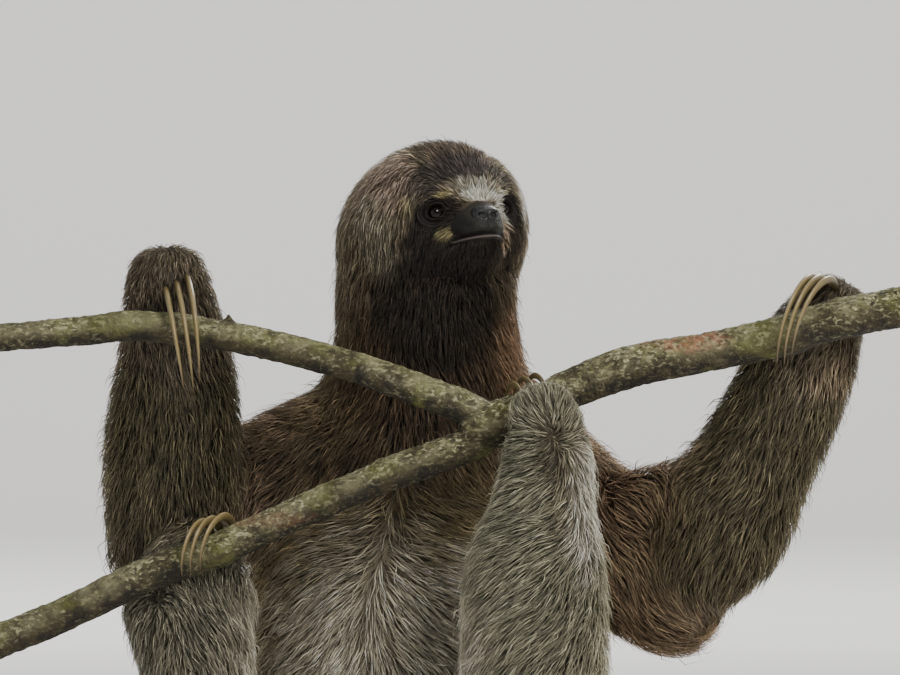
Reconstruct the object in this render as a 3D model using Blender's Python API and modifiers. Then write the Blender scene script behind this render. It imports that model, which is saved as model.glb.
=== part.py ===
"""A three-toed sloth, life size, hugging a forked branch on a plain display stand.

The solids are the outer form of the coat. Trunk, neck and limbs are lofts through a few sized
stations, fused limb by limb, then parted at the joints with thin plane cuts. The head is a
sphere shaped by a function of direction. +X is the animal's left, -Y its front, +Z up, and the
origin is the middle of the stand's underside.
"""

import math

import bmesh
import bpy
import numpy as np
from mathutils import Vector

GAP = 0.0003  # clearance kept between touching solids
CUT = 0.0002  # half the width of a parting cut

# Head: its centre, how it is turned, and the coat's outer radii
HEAD_CENTRE = Vector((-0.0116, -0.012, 0.4772))
HEAD_YAW = math.radians(30.6)
HEAD_PITCH = math.radians(18.0)
HEAD_ROLL = math.radians(3.5)  # the animal's left side up
HEAD_SIDE, HEAD_FRONT, HEAD_BACK, HEAD_UP = 0.0578, 0.0575, 0.0500, 0.0525
HEAD_LEAN = 0.24  # how far the crown stands forward of the chin, to the head's height
# Each form of the face: how far it stands out, its middle and its spans in degrees aside and up
MUZZLE = (0.0108, (0.0, -12.0), (15.0, 12.0))
CHIN = (0.0080, (0.0, -31.0), (18.0, 13.0))
CHEEK = (0.0026, (55.0, -25.0), (22.0, 20.0))
SOCKET = (-0.0038, (24.0, 0.0), (10.0, 10.0))
MUZZLE_SQUARENESS = 2.6  # 2 is a round hill, more a flat top with steep sides
NOSE_SIZE = (0.0088, 0.0046, 0.0060)
NOSE_PLACE = (0.0, 0.0617, -0.0076)  # sideways, forward and up from the head's centre
EYE_RADIUS = 0.0058
EYE_PLACE = (0.0219, 0.0449, 0.0004)

# Trunk and neck stations, rump to collar: x, y, z, half width, half depth
TRUNK = [
    (-0.0336, -0.002, 0.1180, 0.0620, 0.0580),
    (-0.0340, 0.004, 0.1450, 0.0780, 0.0730),
    (-0.0346, 0.012, 0.1950, 0.0870, 0.0820),
    (-0.0345, 0.017, 0.2500, 0.0850, 0.0820),
    (-0.0300, 0.015, 0.3050, 0.0815, 0.0770),
    (-0.0205, 0.009, 0.3480, 0.0745, 0.0680),
    (-0.0145, 0.003, 0.3780, 0.0650, 0.0610),
]
NECK = [
    (-0.0160, 0.005, 0.3650, 0.0660, 0.0620),
    (-0.0130, -0.001, 0.3920, 0.0590, 0.0570),
    (-0.0133, -0.007, 0.4200, 0.0540, 0.0540),
    (-0.0140, -0.011, 0.4430, 0.0535, 0.0520),
    (-0.0120, -0.014, 0.4650, 0.0545, 0.0490),
]
TAIL = [
    (-0.0336, 0.038, 0.1220, 0.0200, 0.0200),
    (-0.0336, 0.068, 0.1040, 0.0180, 0.0170),
    (-0.0336, 0.088, 0.0940, 0.0140, 0.0130),
]

# Limb stations, root to tip, in the same five numbers
ARM_RIGHT = [
    (-0.0560, 0.002, 0.3580, 0.0400, 0.0400),
    (-0.1080, -0.017, 0.3345, 0.0380, 0.0370),
    (-0.1470, -0.036, 0.3120, 0.0350, 0.0330),
]
FOREARM_RIGHT = [
    (-0.1565, -0.040, 0.3020, 0.0400, 0.0340),
    (-0.1575, -0.047, 0.3220, 0.0420, 0.0365),
    (-0.1583, -0.052, 0.3426, 0.0422, 0.0370),
    (-0.1586, -0.057, 0.3620, 0.0406, 0.0350),
    (-0.1572, -0.063, 0.3844, 0.0384, 0.0310),
    (-0.1568, -0.067, 0.4041, 0.0354, 0.0275),
    (-0.1596, -0.071, 0.4377, 0.0284, 0.0235),
    (-0.1608, -0.074, 0.4505, 0.0256, 0.0215),
    (-0.1612, -0.075, 0.4575, 0.0228, 0.0195),
]
ARM_LEFT = [
    (0.0250, 0.002, 0.3660, 0.0400, 0.0400),
    (0.0430, 0.000, 0.3460, 0.0405, 0.0400),
    (0.0760, -0.010, 0.3120, 0.0430, 0.0400),
    (0.1050, -0.021, 0.2910, 0.0440, 0.0390),
    (0.1290, -0.032, 0.2700, 0.0370, 0.0350),
]
FOREARM_LEFT = [
    (0.1450, -0.041, 0.2950, 0.0365, 0.0340),
    (0.1552, -0.048, 0.3124, 0.0415, 0.0365),
    (0.1640, -0.053, 0.3300, 0.0398, 0.0350),
    (0.1762, -0.059, 0.3520, 0.0364, 0.0305),
    (0.1893, -0.066, 0.3780, 0.0352, 0.0270),
    (0.1995, -0.070, 0.4000, 0.0328, 0.0245),
    (0.2092, -0.073, 0.4220, 0.0278, 0.0215),
    (0.2195, -0.076, 0.4400, 0.0205, 0.0185),
]
CREASE_LEFT = [
    (0.1060, -0.036, 0.3205, 0.0240, 0.0270),
    (0.1300, -0.042, 0.3280, 0.0240, 0.0270),
]
THIGH_LEFT = [
    (0.0080, -0.020, 0.1300, 0.0540, 0.0500),
    (0.0290, -0.062, 0.1680, 0.0490, 0.0460),
    (0.0460, -0.098, 0.2050, 0.0420, 0.0400),
]
SHANK_LEFT = [
    (0.0476, -0.108, 0.2092, 0.0430, 0.0390),
    (0.0476, -0.117, 0.2400, 0.0432, 0.0370),
    (0.0478, -0.124, 0.2760, 0.0422, 0.0335),
    (0.0495, -0.128, 0.3000, 0.0385, 0.0300),
    (0.0525, -0.132, 0.3250, 0.0310, 0.0250),
    (0.0545, -0.135, 0.3500, 0.0275, 0.0200),
    (0.0540, -0.136, 0.3680, 0.0235, 0.0165),
    (0.0515, -0.136, 0.3840, 0.0180, 0.0130),
]
THIGH_RIGHT = [
    (-0.0720, -0.020, 0.1300, 0.0540, 0.0500),
    (-0.1080, -0.058, 0.1390, 0.0470, 0.0450),
    (-0.1380, -0.090, 0.1500, 0.0400, 0.0390),
]
SHANK_RIGHT = [
    (-0.1405, -0.094, 0.1512, 0.0390, 0.0370),
    (-0.1415, -0.092, 0.1950, 0.0350, 0.0335),
    (-0.1434, -0.087, 0.2350, 0.0342, 0.0315),
    (-0.1480, -0.082, 0.2600, 0.0375, 0.0270),
    (-0.1440, -0.078, 0.2830, 0.0340, 0.0220),
    (-0.1350, -0.074, 0.3010, 0.0200, 0.0160),
]
HEEL_RIGHT = [
    (-0.1560, -0.084, 0.2520, 0.0210, 0.0200),
    (-0.1730, -0.084, 0.2650, 0.0160, 0.0160),
]

# Branch lines, thick end first: x, z, radius. All of it lies in one plane in front of the chest
BRANCH_Y = -0.105
BRANCH_MAIN = [
    (0.2755, 0.4400, 0.0118),
    (0.2210, 0.4302, 0.0117),
    (0.1897, 0.4209, 0.0119),
    (0.1520, 0.4122, 0.0112),
    (0.1032, 0.4030, 0.0122),
    (0.0684, 0.3905, 0.0118),
    (0.0464, 0.3791, 0.0120),
    (0.0220, 0.3690, 0.0135),
    (0.0080, 0.3640, 0.0100),
]
BRANCH_UPPER = [
    (0.0261, 0.3705, 0.0100),
    (0.0058, 0.3805, 0.0100),
    (-0.0354, 0.3965, 0.0092),
    (-0.0754, 0.4087, 0.0089),
    (-0.1351, 0.4218, 0.0089),
    (-0.1792, 0.4258, 0.0087),
    (-0.2059, 0.4232, 0.0085),
    (-0.2755, 0.4174, 0.0084),
]
BRANCH_LOWER = [
    (0.0261, 0.3693, 0.0105),
    (0.0060, 0.3570, 0.0105),
    (-0.0447, 0.3380, 0.0096),
    (-0.1114, 0.3090, 0.0098),
    (-0.1334, 0.2979, 0.0102),
    (-0.1734, 0.2846, 0.0098),
    (-0.2175, 0.2631, 0.0100),
    (-0.2755, 0.2394, 0.0100),
]

# Claws: the root, crest and tip of each
CLAW_WIDTH, CLAW_DEPTH = 0.0018, 0.0027
CLAWS = {
    "hand_right": [
        [(-0.1612, -0.086, 0.4457), (-0.1551, -0.1215, 0.4230), (-0.1497, -0.112, 0.3886)],
        [(-0.1554, -0.086, 0.4492), (-0.1487, -0.1220, 0.4247), (-0.1445, -0.112, 0.3880)],
        [(-0.1496, -0.086, 0.4527), (-0.1429, -0.1215, 0.4264), (-0.1412, -0.112, 0.3935)],
    ],
    "hand_left": [
        [(0.2085, -0.086, 0.4490), (0.1930, -0.1220, 0.4418), (0.1842, -0.117, 0.4046)],
        [(0.2140, -0.086, 0.4480), (0.1968, -0.1230, 0.4406), (0.1883, -0.118, 0.4045)],
        [(0.2190, -0.086, 0.4455), (0.2008, -0.1240, 0.4390), (0.1924, -0.119, 0.4100)],
    ],
    "foot_right": [
        [(-0.1350, -0.0865, 0.3010), (-0.1495, -0.1215, 0.3002), (-0.1507, -0.118, 0.2850)],
        [(-0.1295, -0.0865, 0.3030), (-0.1445, -0.1215, 0.3017), (-0.1458, -0.118, 0.2862)],
        [(-0.1225, -0.0865, 0.3050), (-0.1385, -0.1215, 0.3037), (-0.1404, -0.118, 0.2882)],
    ],
    "foot_left": [
        [(0.0400, -0.131, 0.3865), (0.0345, -0.108, 0.3925), (0.0290, -0.086, 0.3725)],
        [(0.0470, -0.131, 0.3895), (0.0400, -0.108, 0.3955), (0.0350, -0.086, 0.3755)],
        [(0.0540, -0.131, 0.3905), (0.0465, -0.108, 0.3975), (0.0415, -0.086, 0.3775)],
    ],
}

# Stand: a wooden plate and one steel rod into the rump
PLATE_SIZE = (0.34, 0.25, 0.016)
PLATE_EDGE = 0.003
ROD_RADIUS = 0.007
ROD_FOOT_RADIUS, ROD_FOOT_HEIGHT = 0.020, 0.005
ROD_X, ROD_Y = -0.0336, 0.012
ROD_TOP = 0.090

# Parting planes, each a point and a normal
NECK_TOP = ((-0.0128, -0.008, 0.4310), (0.05, -0.12, 1.0))
COLLAR = ((-0.0140, 0.0, 0.3800), (0.0, -0.10, 1.0))

VOXEL = 0.0055
KEEP = 0.0535  # share of the fused forms' faces that is kept
COLOURS = {
    "coat": ((0.10, 0.075, 0.055), 0.9, 0.0),
    "pale_coat": ((0.33, 0.30, 0.25), 0.9, 0.0),
    "nose": ((0.02, 0.02, 0.02), 0.5, 0.0),
    "eye": ((0.02, 0.012, 0.008), 0.1, 0.0),
    "claw": ((0.42, 0.34, 0.20), 0.4, 0.0),
    "bark": ((0.16, 0.15, 0.09), 0.9, 0.0),
    "wood": ((0.06, 0.035, 0.02), 0.5, 0.0),
    "steel": ((0.10, 0.10, 0.10), 0.4, 1.0),
}


def clear_scene():
    for old in list(bpy.data.objects):
        bpy.data.objects.remove(old)


def collection(name):
    made = bpy.data.collections.new(name)
    bpy.context.scene.collection.children.link(made)
    return made


def material(name):
    made = bpy.data.materials.get(name)
    if made:
        return made
    colour, roughness, metallic = COLOURS[name]
    made = bpy.data.materials.new(name)
    made.use_nodes = True
    shader = made.node_tree.nodes["Principled BSDF"]
    shader.inputs["Base Color"].default_value = (*colour, 1.0)
    shader.inputs["Roughness"].default_value = roughness
    shader.inputs["Metallic"].default_value = metallic
    made.diffuse_color = (*colour, 1.0)
    return made


def new_object(name, mesh, where):
    made = bpy.data.objects.new(name, mesh)
    where.objects.link(made)
    return made


def finish(obj, name, finish_name):
    """Names a solid, shades it smooth and gives it its material."""
    obj.name = name
    obj.data.name = name
    obj.data.materials.clear()
    obj.data.materials.append(material(finish_name))
    obj.data.shade_smooth()
    obj.data.set_sharp_from_angle(angle=math.radians(50))
    return obj


def through(rows, steps):
    """Catmull-Rom curve through rows of numbers, with steps points from one row to the next."""
    rows = np.array(rows, float)
    padded = np.vstack([2 * rows[0] - rows[1], rows, 2 * rows[-1] - rows[-2]])
    t = (np.arange(steps) / steps)[:, None]
    spans = []
    for a, b, c, d in zip(padded, padded[1:], padded[2:], padded[3:]):
        cubic = (2 * a - 5 * b + 4 * c - d) * t**2 + (3 * b - a - 3 * c + d) * t**3
        spans.append(b + 0.5 * ((c - a) * t + cubic))
    return np.vstack([*spans, rows[-1:]])


def dome(end, out, half_width, half_depth, rings):
    """Centres and radii of the rings that round off a tube's end, the last one nearly a point."""
    height = 0.85 * min(half_width, half_depth)
    turn = np.linspace(0, 0.5 * math.pi, rings + 2)[1:-1]
    centres = end + np.outer(np.sin(turn) * height, out)
    return centres, np.cos(turn)[:, None] * (half_width, half_depth)


def loft_mesh(name, stations, sides=24, steps=4, facing=(0, 1, 0), dome_rings=4):
    """A closed tube of elliptical sections through stations, with domed ends."""
    rows = through(stations, steps)
    centres, radii = rows[:, :3], rows[:, 3:5]
    ends = []
    for end, inner, size in ((0, 1, radii[0]), (-1, -2, radii[-1])):
        out = centres[end] - centres[inner]
        ends.append(dome(centres[end], out / np.linalg.norm(out), *size, dome_rings))
    centres = np.vstack([ends[0][0][::-1], centres, ends[1][0]])
    radii = np.vstack([ends[0][1][::-1], radii, ends[1][1]])
    along = np.gradient(centres, axis=0)
    along /= np.linalg.norm(along, axis=1)[:, None]
    depth = np.array(facing) - (along @ np.array(facing))[:, None] * along
    depth /= np.linalg.norm(depth, axis=1)[:, None]
    side = np.cross(depth, along)
    turn = np.arange(sides) * 2 * math.pi / sides
    points = (
        centres[:, None]
        + np.cos(turn)[None, :, None] * (side * radii[:, :1])[:, None]
        + np.sin(turn)[None, :, None] * (depth * radii[:, 1:])[:, None]
    )
    shape = bmesh.new()
    rings = [[shape.verts.new(p) for p in ring] for ring in points]
    for low, high in zip(rings, rings[1:]):
        for i in range(sides):
            j = (i + 1) % sides
            shape.faces.new((low[i], low[j], high[j], high[i]))
    shape.faces.new(rings[0][::-1])
    shape.faces.new(rings[-1])
    bmesh.ops.triangulate(shape, faces=[f for f in shape.faces if len(f.verts) > 4])
    bmesh.ops.recalc_face_normals(shape, faces=shape.faces)
    mesh = bpy.data.meshes.new(name)
    shape.to_mesh(mesh)
    shape.free()
    return mesh


def face_outward(mesh, weld=0.0):
    """Splits a mesh into triangles that face outward, after welding points closer than weld."""
    shape = bmesh.new()
    shape.from_mesh(mesh)
    if weld:
        bmesh.ops.remove_doubles(shape, verts=shape.verts, dist=weld)
    bmesh.ops.triangulate(shape, faces=shape.faces)
    bmesh.ops.recalc_face_normals(shape, faces=shape.faces)
    shape.to_mesh(mesh)
    shape.free()


def evaluated(obj, name, where):
    """A plain mesh object of obj as its modifiers leave it. obj is removed."""
    graph = bpy.context.evaluated_depsgraph_get()
    mesh = bpy.data.meshes.new_from_object(obj.evaluated_get(graph))
    made = new_object(name, mesh, where)
    made.matrix_world = obj.matrix_world
    bpy.data.objects.remove(obj)
    return made


def fuse(name, lofts, where):
    """Joins overlapping lofts into one smooth closed form of few faces."""
    shape = bmesh.new()
    for mesh in lofts:
        shape.from_mesh(mesh)
    joined = bpy.data.meshes.new(name)
    shape.to_mesh(joined)
    shape.free()
    obj = new_object(name, joined, where)
    remesh = obj.modifiers.new("remesh", "REMESH")
    remesh.mode = "VOXEL"
    remesh.voxel_size = VOXEL
    smooth = obj.modifiers.new("smooth", "SMOOTH")
    smooth.iterations = 6
    thin = obj.modifiers.new("thin", "DECIMATE")
    thin.ratio = KEEP
    bpy.context.view_layer.update()
    return evaluated(obj, name, where)


def grown(obj, helpers, by=GAP):
    """A hidden copy of obj whose surface stands out by the gap, for cutting its neighbours."""
    shape = bmesh.new()
    shape.from_mesh(obj.data)
    shape.normal_update()
    moved = [v.co + v.normal * by * 1.2 for v in shape.verts]
    for vert, place in zip(shape.verts, moved):
        vert.co = place
    mesh = bpy.data.meshes.new(obj.name + "_cutter")
    shape.to_mesh(mesh)
    shape.free()
    cutter = new_object(obj.name + "_cutter", mesh, helpers)
    cutter.matrix_world = obj.matrix_world
    cutter.hide_render = True
    cutter.display_type = "WIRE"
    return cutter


def cut(obj, cutters, where):
    """obj less the cutters, as a plain mesh."""
    name = obj.name
    for cutter in cutters:
        less = obj.modifiers.new("less_" + cutter.name, "BOOLEAN")
        less.operation = "DIFFERENCE"
        less.solver = "EXACT"
        less.object = cutter
    bpy.context.view_layer.update()
    return evaluated(obj, name, where)


def union(obj, other, where):
    """obj and other as one body."""
    name = obj.name
    joined = obj.modifiers.new("with_" + other.name, "BOOLEAN")
    joined.operation = "UNION"
    joined.solver = "EXACT"
    joined.object = other
    bpy.context.view_layer.update()
    made = evaluated(obj, name, where)
    bpy.data.objects.remove(other)
    return made


def part_at(obj, point, normal, near_name, far_name, where):
    """Parts obj at a plane into the piece behind the normal and the piece ahead of it."""
    pieces = []
    for name, sign in ((near_name, -1), (far_name, 1)):
        shape = bmesh.new()
        shape.from_mesh(obj.data)
        whole = [*shape.verts, *shape.edges, *shape.faces]
        cut_out = bmesh.ops.bisect_plane(
            shape,
            geom=whole,
            plane_co=Vector(point) + sign * CUT * Vector(normal).normalized(),
            plane_no=normal,
            clear_inner=sign > 0,
            clear_outer=sign < 0,
        )
        rim = [e for e in cut_out["geom_cut"] if isinstance(e, bmesh.types.BMEdge)]
        bmesh.ops.edgeloop_fill(shape, edges=rim)
        bmesh.ops.triangulate(shape, faces=shape.faces)
        bmesh.ops.recalc_face_normals(shape, faces=shape.faces)
        mesh = bpy.data.meshes.new(name)
        shape.to_mesh(mesh)
        shape.free()
        pieces.append(new_object(name, mesh, where))
    bpy.data.objects.remove(obj)
    return pieces


def head_axes():
    """Unit vectors to the head's left side, to its front and up through its crown."""
    sin_yaw, cos_yaw = math.sin(HEAD_YAW), math.cos(HEAD_YAW)
    sin_pitch, cos_pitch = math.sin(HEAD_PITCH), math.cos(HEAD_PITCH)
    side = Vector((cos_yaw, sin_yaw, 0.0))
    front = Vector((sin_yaw * cos_pitch, -cos_yaw * cos_pitch, sin_pitch))
    level_top = front.cross(side)
    sin_roll, cos_roll = math.sin(HEAD_ROLL), math.cos(HEAD_ROLL)
    side = side * cos_roll + level_top * sin_roll
    return side, front, front.cross(side)


def head_place(sideways, forward, up):
    side, front, top = head_axes()
    return HEAD_CENTRE + side * sideways + front * forward + top * up


def hill(form, around, rise, squareness=2.0):
    """Height of a form of the face in a direction: its reach at the middle, fading by its spans."""
    reach, middle, span = form
    away = math.hypot((around - middle[0]) / span[0], (rise - middle[1]) / span[1])
    return reach * math.exp(-(away**squareness))


def head_radius(direction):
    """The coat's distance from the head's centre in a direction given as side, front and up."""
    side, front, up = direction
    ahead = front - HEAD_LEAN * up
    deep = HEAD_FRONT if ahead > 0 else HEAD_BACK
    round_head = ((side / HEAD_SIDE) ** 2 + (ahead / deep) ** 2 + (up / HEAD_UP) ** 2) ** -0.5
    around = math.degrees(abs(math.atan2(side, front)))
    rise = math.degrees(math.asin(max(-1.0, min(1.0, up))))
    hills = [hill(form, around, rise) for form in (CHIN, CHEEK, SOCKET)]
    return round_head + hill(MUZZLE, around, rise, MUZZLE_SQUARENESS) + sum(hills)


def make_head(where):
    """A sphere with its pole at the nose, each point set at the head's radius in its direction."""
    shape = bmesh.new()
    bmesh.ops.create_uvsphere(shape, u_segments=24, v_segments=18, radius=1.0)
    side, front, top = head_axes()
    for vert in shape.verts:
        polar = math.acos(max(-1.0, min(1.0, vert.co.z)))
        polar *= 0.55 + 0.45 * polar / math.pi  # rings lie closer together round the nose
        turn = math.atan2(vert.co.y, vert.co.x)
        ring = math.sin(polar)
        direction = (ring * math.cos(turn), math.cos(polar), ring * math.sin(turn))
        reach = head_radius(direction)
        vert.co = HEAD_CENTRE + reach * (
            side * direction[0] + front * direction[1] + top * direction[2]
        )
    bmesh.ops.triangulate(shape, faces=shape.faces)
    bmesh.ops.recalc_face_normals(shape, faces=shape.faces)
    mesh = bpy.data.meshes.new("head_whole")
    shape.to_mesh(mesh)
    shape.free()
    return new_object("head_whole", mesh, where)


def ball(name, centre, size, where, segments=12, rings=8):
    """An ellipsoid with its three half sizes along the head's side, front and up."""
    shape = bmesh.new()
    bmesh.ops.create_uvsphere(shape, u_segments=segments, v_segments=rings, radius=1.0)
    side, front, top = head_axes()
    for vert in shape.verts:
        x, z, y = vert.co
        vert.co = centre + side * x * size[0] + front * y * size[1] + top * z * size[2]
    bmesh.ops.triangulate(shape, faces=shape.faces)
    bmesh.ops.recalc_face_normals(shape, faces=shape.faces)
    mesh = bpy.data.meshes.new(name)
    shape.to_mesh(mesh)
    shape.free()
    return new_object(name, mesh, where)


def arc(root, crest, tip, count):
    """Points on the circle through three points, from root to tip."""
    a, b, c = (Vector(p) for p in (root, crest, tip))
    normal = (b - a).cross(c - a)
    centre = a + (
        (c - a).length_squared * normal.cross(b - a) + (b - a).length_squared * (c - a).cross(normal)
    ) / (2 * normal.length_squared)
    first = a - centre
    radius = first.length
    across = normal.normalized().cross(first).normalized()
    last = c - centre
    sweep = math.atan2(last.dot(across), last.dot(first.normalized())) % (2 * math.pi)
    turns = [sweep * i / (count - 1) for i in range(count)]
    points = [centre + first * math.cos(t) + across * radius * math.sin(t) for t in turns]
    return points, normal.normalized()


def claw(name, points, where):
    """A hooked claw, flat-sided, along the arc through its root, crest and tip."""
    line, normal = arc(*points, count=8)
    stations = []
    for i, place in enumerate(line):
        share = i / (len(line) - 1)
        slim = (1 - share**2.2) * 0.78 + 0.22
        stations.append((*place, CLAW_DEPTH * slim, CLAW_WIDTH * slim))
    mesh = loft_mesh(name, stations, sides=6, steps=1, facing=normal, dome_rings=1)
    return new_object(name, mesh, where)


def branch(name, line, where):
    """A bark-covered length of wood: a round curve whose radius follows its stations."""
    curve = bpy.data.curves.new(name, "CURVE")
    curve.dimensions = "3D"
    curve.bevel_depth = 1.0
    curve.bevel_resolution = 2
    curve.use_fill_caps = True
    rows = through(line, 2)
    spline = curve.splines.new("POLY")
    spline.points.add(len(rows) - 1)
    for point, (x, z, radius) in zip(spline.points, rows):
        point.co = (x, BRANCH_Y, z, 1.0)
        point.radius = radius
    obj = new_object(name + "_line", curve, where)
    bpy.context.view_layer.update()
    made = evaluated(obj, name, where)
    face_outward(made.data, weld=1e-5)
    return made


def make_stand(where):
    """The plate, and the rod with the round foot that screws it down, turned in one profile."""
    bpy.ops.mesh.primitive_cube_add(size=1.0, location=(0, 0, 0.5 * PLATE_SIZE[2]))
    plate = bpy.context.object
    plate.scale = PLATE_SIZE
    bpy.ops.object.transform_apply(location=False, rotation=False, scale=True)
    for linked in list(plate.users_collection):
        linked.objects.unlink(plate)
    where.objects.link(plate)
    edge = plate.modifiers.new("edge", "BEVEL")
    edge.width = PLATE_EDGE
    edge.segments = 2
    finish(plate, "stand_base", "wood")
    low = PLATE_SIZE[2] + GAP
    profile = [
        (0.0, ROD_TOP),
        (ROD_RADIUS, ROD_TOP),
        (ROD_RADIUS, low + ROD_FOOT_HEIGHT),
        (ROD_FOOT_RADIUS, low + ROD_FOOT_HEIGHT),
        (ROD_FOOT_RADIUS, low),
        (0.0, low),
    ]
    mesh = bpy.data.meshes.new("stand_rod")
    mesh.from_pydata([(r, 0.0, z) for r, z in profile], [(i, i + 1) for i in range(5)], [])
    rod = new_object("stand_rod", mesh, where)
    rod.location = (ROD_X, ROD_Y, 0.0)
    turned = rod.modifiers.new("turned", "SCREW")
    turned.steps = 24
    turned.render_steps = 24
    turned.use_merge_vertices = True
    turned.merge_threshold = 0.00005
    bpy.context.view_layer.update()
    rod = evaluated(rod, "stand_rod", where)
    face_outward(rod.data)
    return finish(rod, "stand_rod", "steel")


def bend_normal(before, joint, after):
    """Normal of the plane that halves the bend at a joint."""
    back = (Vector(before) - Vector(joint)).normalized()
    ahead = (Vector(after) - Vector(joint)).normalized()
    return ahead - back


def make_limb(name, *lines, where):
    """A whole arm or leg, fused and hidden until it is cut."""
    return fuse(name, [loft_mesh(name, line) for line in lines], where)


def main():
    clear_scene()
    model = collection("three_toed_sloth")
    helpers = collection("cutters")

    rod = make_stand(model)
    body = [
        loft_mesh("trunk", TRUNK, sides=32),
        loft_mesh("neck", NECK, sides=32),
    ]
    core = union(fuse("core", body, helpers), make_head(helpers), helpers)

    branches = {
        "branch_main": branch("branch_main", BRANCH_MAIN, model),
        "branch_upper": branch("branch_upper", BRANCH_UPPER, model),
        "branch_lower": branch("branch_lower", BRANCH_LOWER, model),
    }
    main_cutter = grown(branches["branch_main"], helpers)
    branches["branch_upper"] = cut(branches["branch_upper"], [main_cutter], model)
    upper_cutter = grown(branches["branch_upper"], helpers)
    branches["branch_lower"] = cut(branches["branch_lower"], [main_cutter, upper_cutter], model)
    for name, obj in branches.items():
        finish(obj, name, "bark")

    claws = {}
    for foot, hooks in CLAWS.items():
        made = [claw(f"claw_{foot}_{i + 1}", points, model) for i, points in enumerate(hooks)]
        claws[foot] = [finish(obj, obj.name, "claw") for obj in made]

    limbs = {
        "arm_right": make_limb("arm_right", ARM_RIGHT, FOREARM_RIGHT, where=helpers),
        "arm_left": make_limb("arm_left", ARM_LEFT, FOREARM_LEFT, CREASE_LEFT, where=helpers),
        "leg_right": make_limb("leg_right", THIGH_RIGHT, SHANK_RIGHT, HEEL_RIGHT, where=helpers),
        "leg_left": make_limb("leg_left", THIGH_LEFT, SHANK_LEFT, where=helpers),
    }
    core_cutter = grown(core, helpers)
    wood = [grown(obj, helpers) for obj in branches.values()]
    pads = {"arm_right": "hand_right", "arm_left": "hand_left"}
    pads.update(leg_right="foot_right", leg_left="foot_left")
    order = ["arm_right", "arm_left", "leg_right", "leg_left"]
    done = []
    for name in order:
        nails = [grown(obj, helpers) for obj in claws[pads[name]]]
        limbs[name] = cut(limbs[name], [core_cutter, *wood, *nails, *done], helpers)
        done.append(grown(limbs[name], helpers))

    joints = {
        "arm_right": (ARM_RIGHT[0], FOREARM_RIGHT[0], FOREARM_RIGHT[3], FOREARM_RIGHT[4]),
        "arm_left": (ARM_LEFT[0], FOREARM_LEFT[0], FOREARM_LEFT[3], FOREARM_LEFT[4]),
        "leg_right": (THIGH_RIGHT[0], SHANK_RIGHT[0], SHANK_RIGHT[1], SHANK_RIGHT[2]),
        "leg_left": (THIGH_LEFT[0], SHANK_LEFT[0], SHANK_LEFT[3], SHANK_LEFT[4]),
    }
    names = {
        "arm_right": ("upper_arm_right", "forearm_right", "hand_right"),
        "arm_left": ("upper_arm_left", "forearm_left", "hand_left"),
        "leg_right": ("thigh_right", "shank_right", "foot_right"),
        "leg_left": ("thigh_left", "shank_left", "foot_left"),
    }
    for name, (root, bend, before, wrist) in joints.items():
        upper_name, lower_name, pad_name = names[name]
        middle = bend_normal(root[:3], bend[:3], before[:3])
        upper, rest = part_at(limbs[name], bend[:3], middle, upper_name, "rest", model)
        along = Vector(wrist[:3]) - Vector(before[:3])
        lower, pad = part_at(rest, wrist[:3], along, lower_name, pad_name, model)
        for obj in (upper, lower, pad):
            finish(obj, obj.name, "pale_coat" if name == "leg_left" else "coat")

    tail = new_object("tail", loft_mesh("tail", TAIL, sides=14, steps=2, dome_rings=2), model)
    finish(cut(tail, [core_cutter], model), "tail", "coat")

    core = cut(core, [grown(rod, helpers), *wood], helpers)
    below, head = part_at(core, *NECK_TOP, "below", "head", helpers)
    trunk, neck = part_at(below, *COLLAR, "trunk", "neck", model)
    finish(trunk, "trunk", "coat")
    finish(neck, "neck", "coat")

    nose = ball("nose", head_place(*NOSE_PLACE), NOSE_SIZE, model)
    finish(nose, "nose", "nose")
    face = [grown(nose, helpers)]
    for label, sign in (("right", -1), ("left", 1)):
        sideways, forward, up = EYE_PLACE
        eye = ball(f"eye_{label}", head_place(sign * sideways, forward, up), [EYE_RADIUS] * 3, model)
        finish(eye, f"eye_{label}", "eye")
        face.append(grown(eye, helpers))
    finish(cut(head, face, model), "head", "coat")

    for leftover in list(helpers.objects):
        leftover.hide_render = True


main()
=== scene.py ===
"""A three-toed sloth holding a forked branch, as a life-size model on a plain display stand."""

import logging
import math
from dataclasses import dataclass, field, fields
from enum import Enum

import bmesh
import bpy
import numpy as np
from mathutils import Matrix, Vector


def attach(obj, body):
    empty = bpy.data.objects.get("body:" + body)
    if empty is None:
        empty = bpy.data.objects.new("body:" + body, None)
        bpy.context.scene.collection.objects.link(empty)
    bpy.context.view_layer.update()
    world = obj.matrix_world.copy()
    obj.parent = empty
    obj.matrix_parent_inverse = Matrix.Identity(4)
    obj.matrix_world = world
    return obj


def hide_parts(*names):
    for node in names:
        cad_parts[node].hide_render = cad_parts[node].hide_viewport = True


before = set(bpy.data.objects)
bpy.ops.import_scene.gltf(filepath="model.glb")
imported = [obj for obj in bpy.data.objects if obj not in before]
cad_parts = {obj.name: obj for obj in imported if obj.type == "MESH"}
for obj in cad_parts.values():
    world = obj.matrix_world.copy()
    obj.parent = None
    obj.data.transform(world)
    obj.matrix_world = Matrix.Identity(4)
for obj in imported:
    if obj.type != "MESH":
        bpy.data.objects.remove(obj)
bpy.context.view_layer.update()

Array = np.ndarray
Pair = tuple[float, float]
Triple = tuple[float, float, float]
Colour = Triple
Cell = tuple[float, float, float, float]
Shape = tuple[Array, Array]
Piece = bpy.types.Object
Material = bpy.types.Material
Socket = bpy.types.NodeSocket
Random = np.random.Generator
DEPTH = np.array([0.0, 1.0, 0.0])
log = logging.getLogger("sloth")

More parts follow.
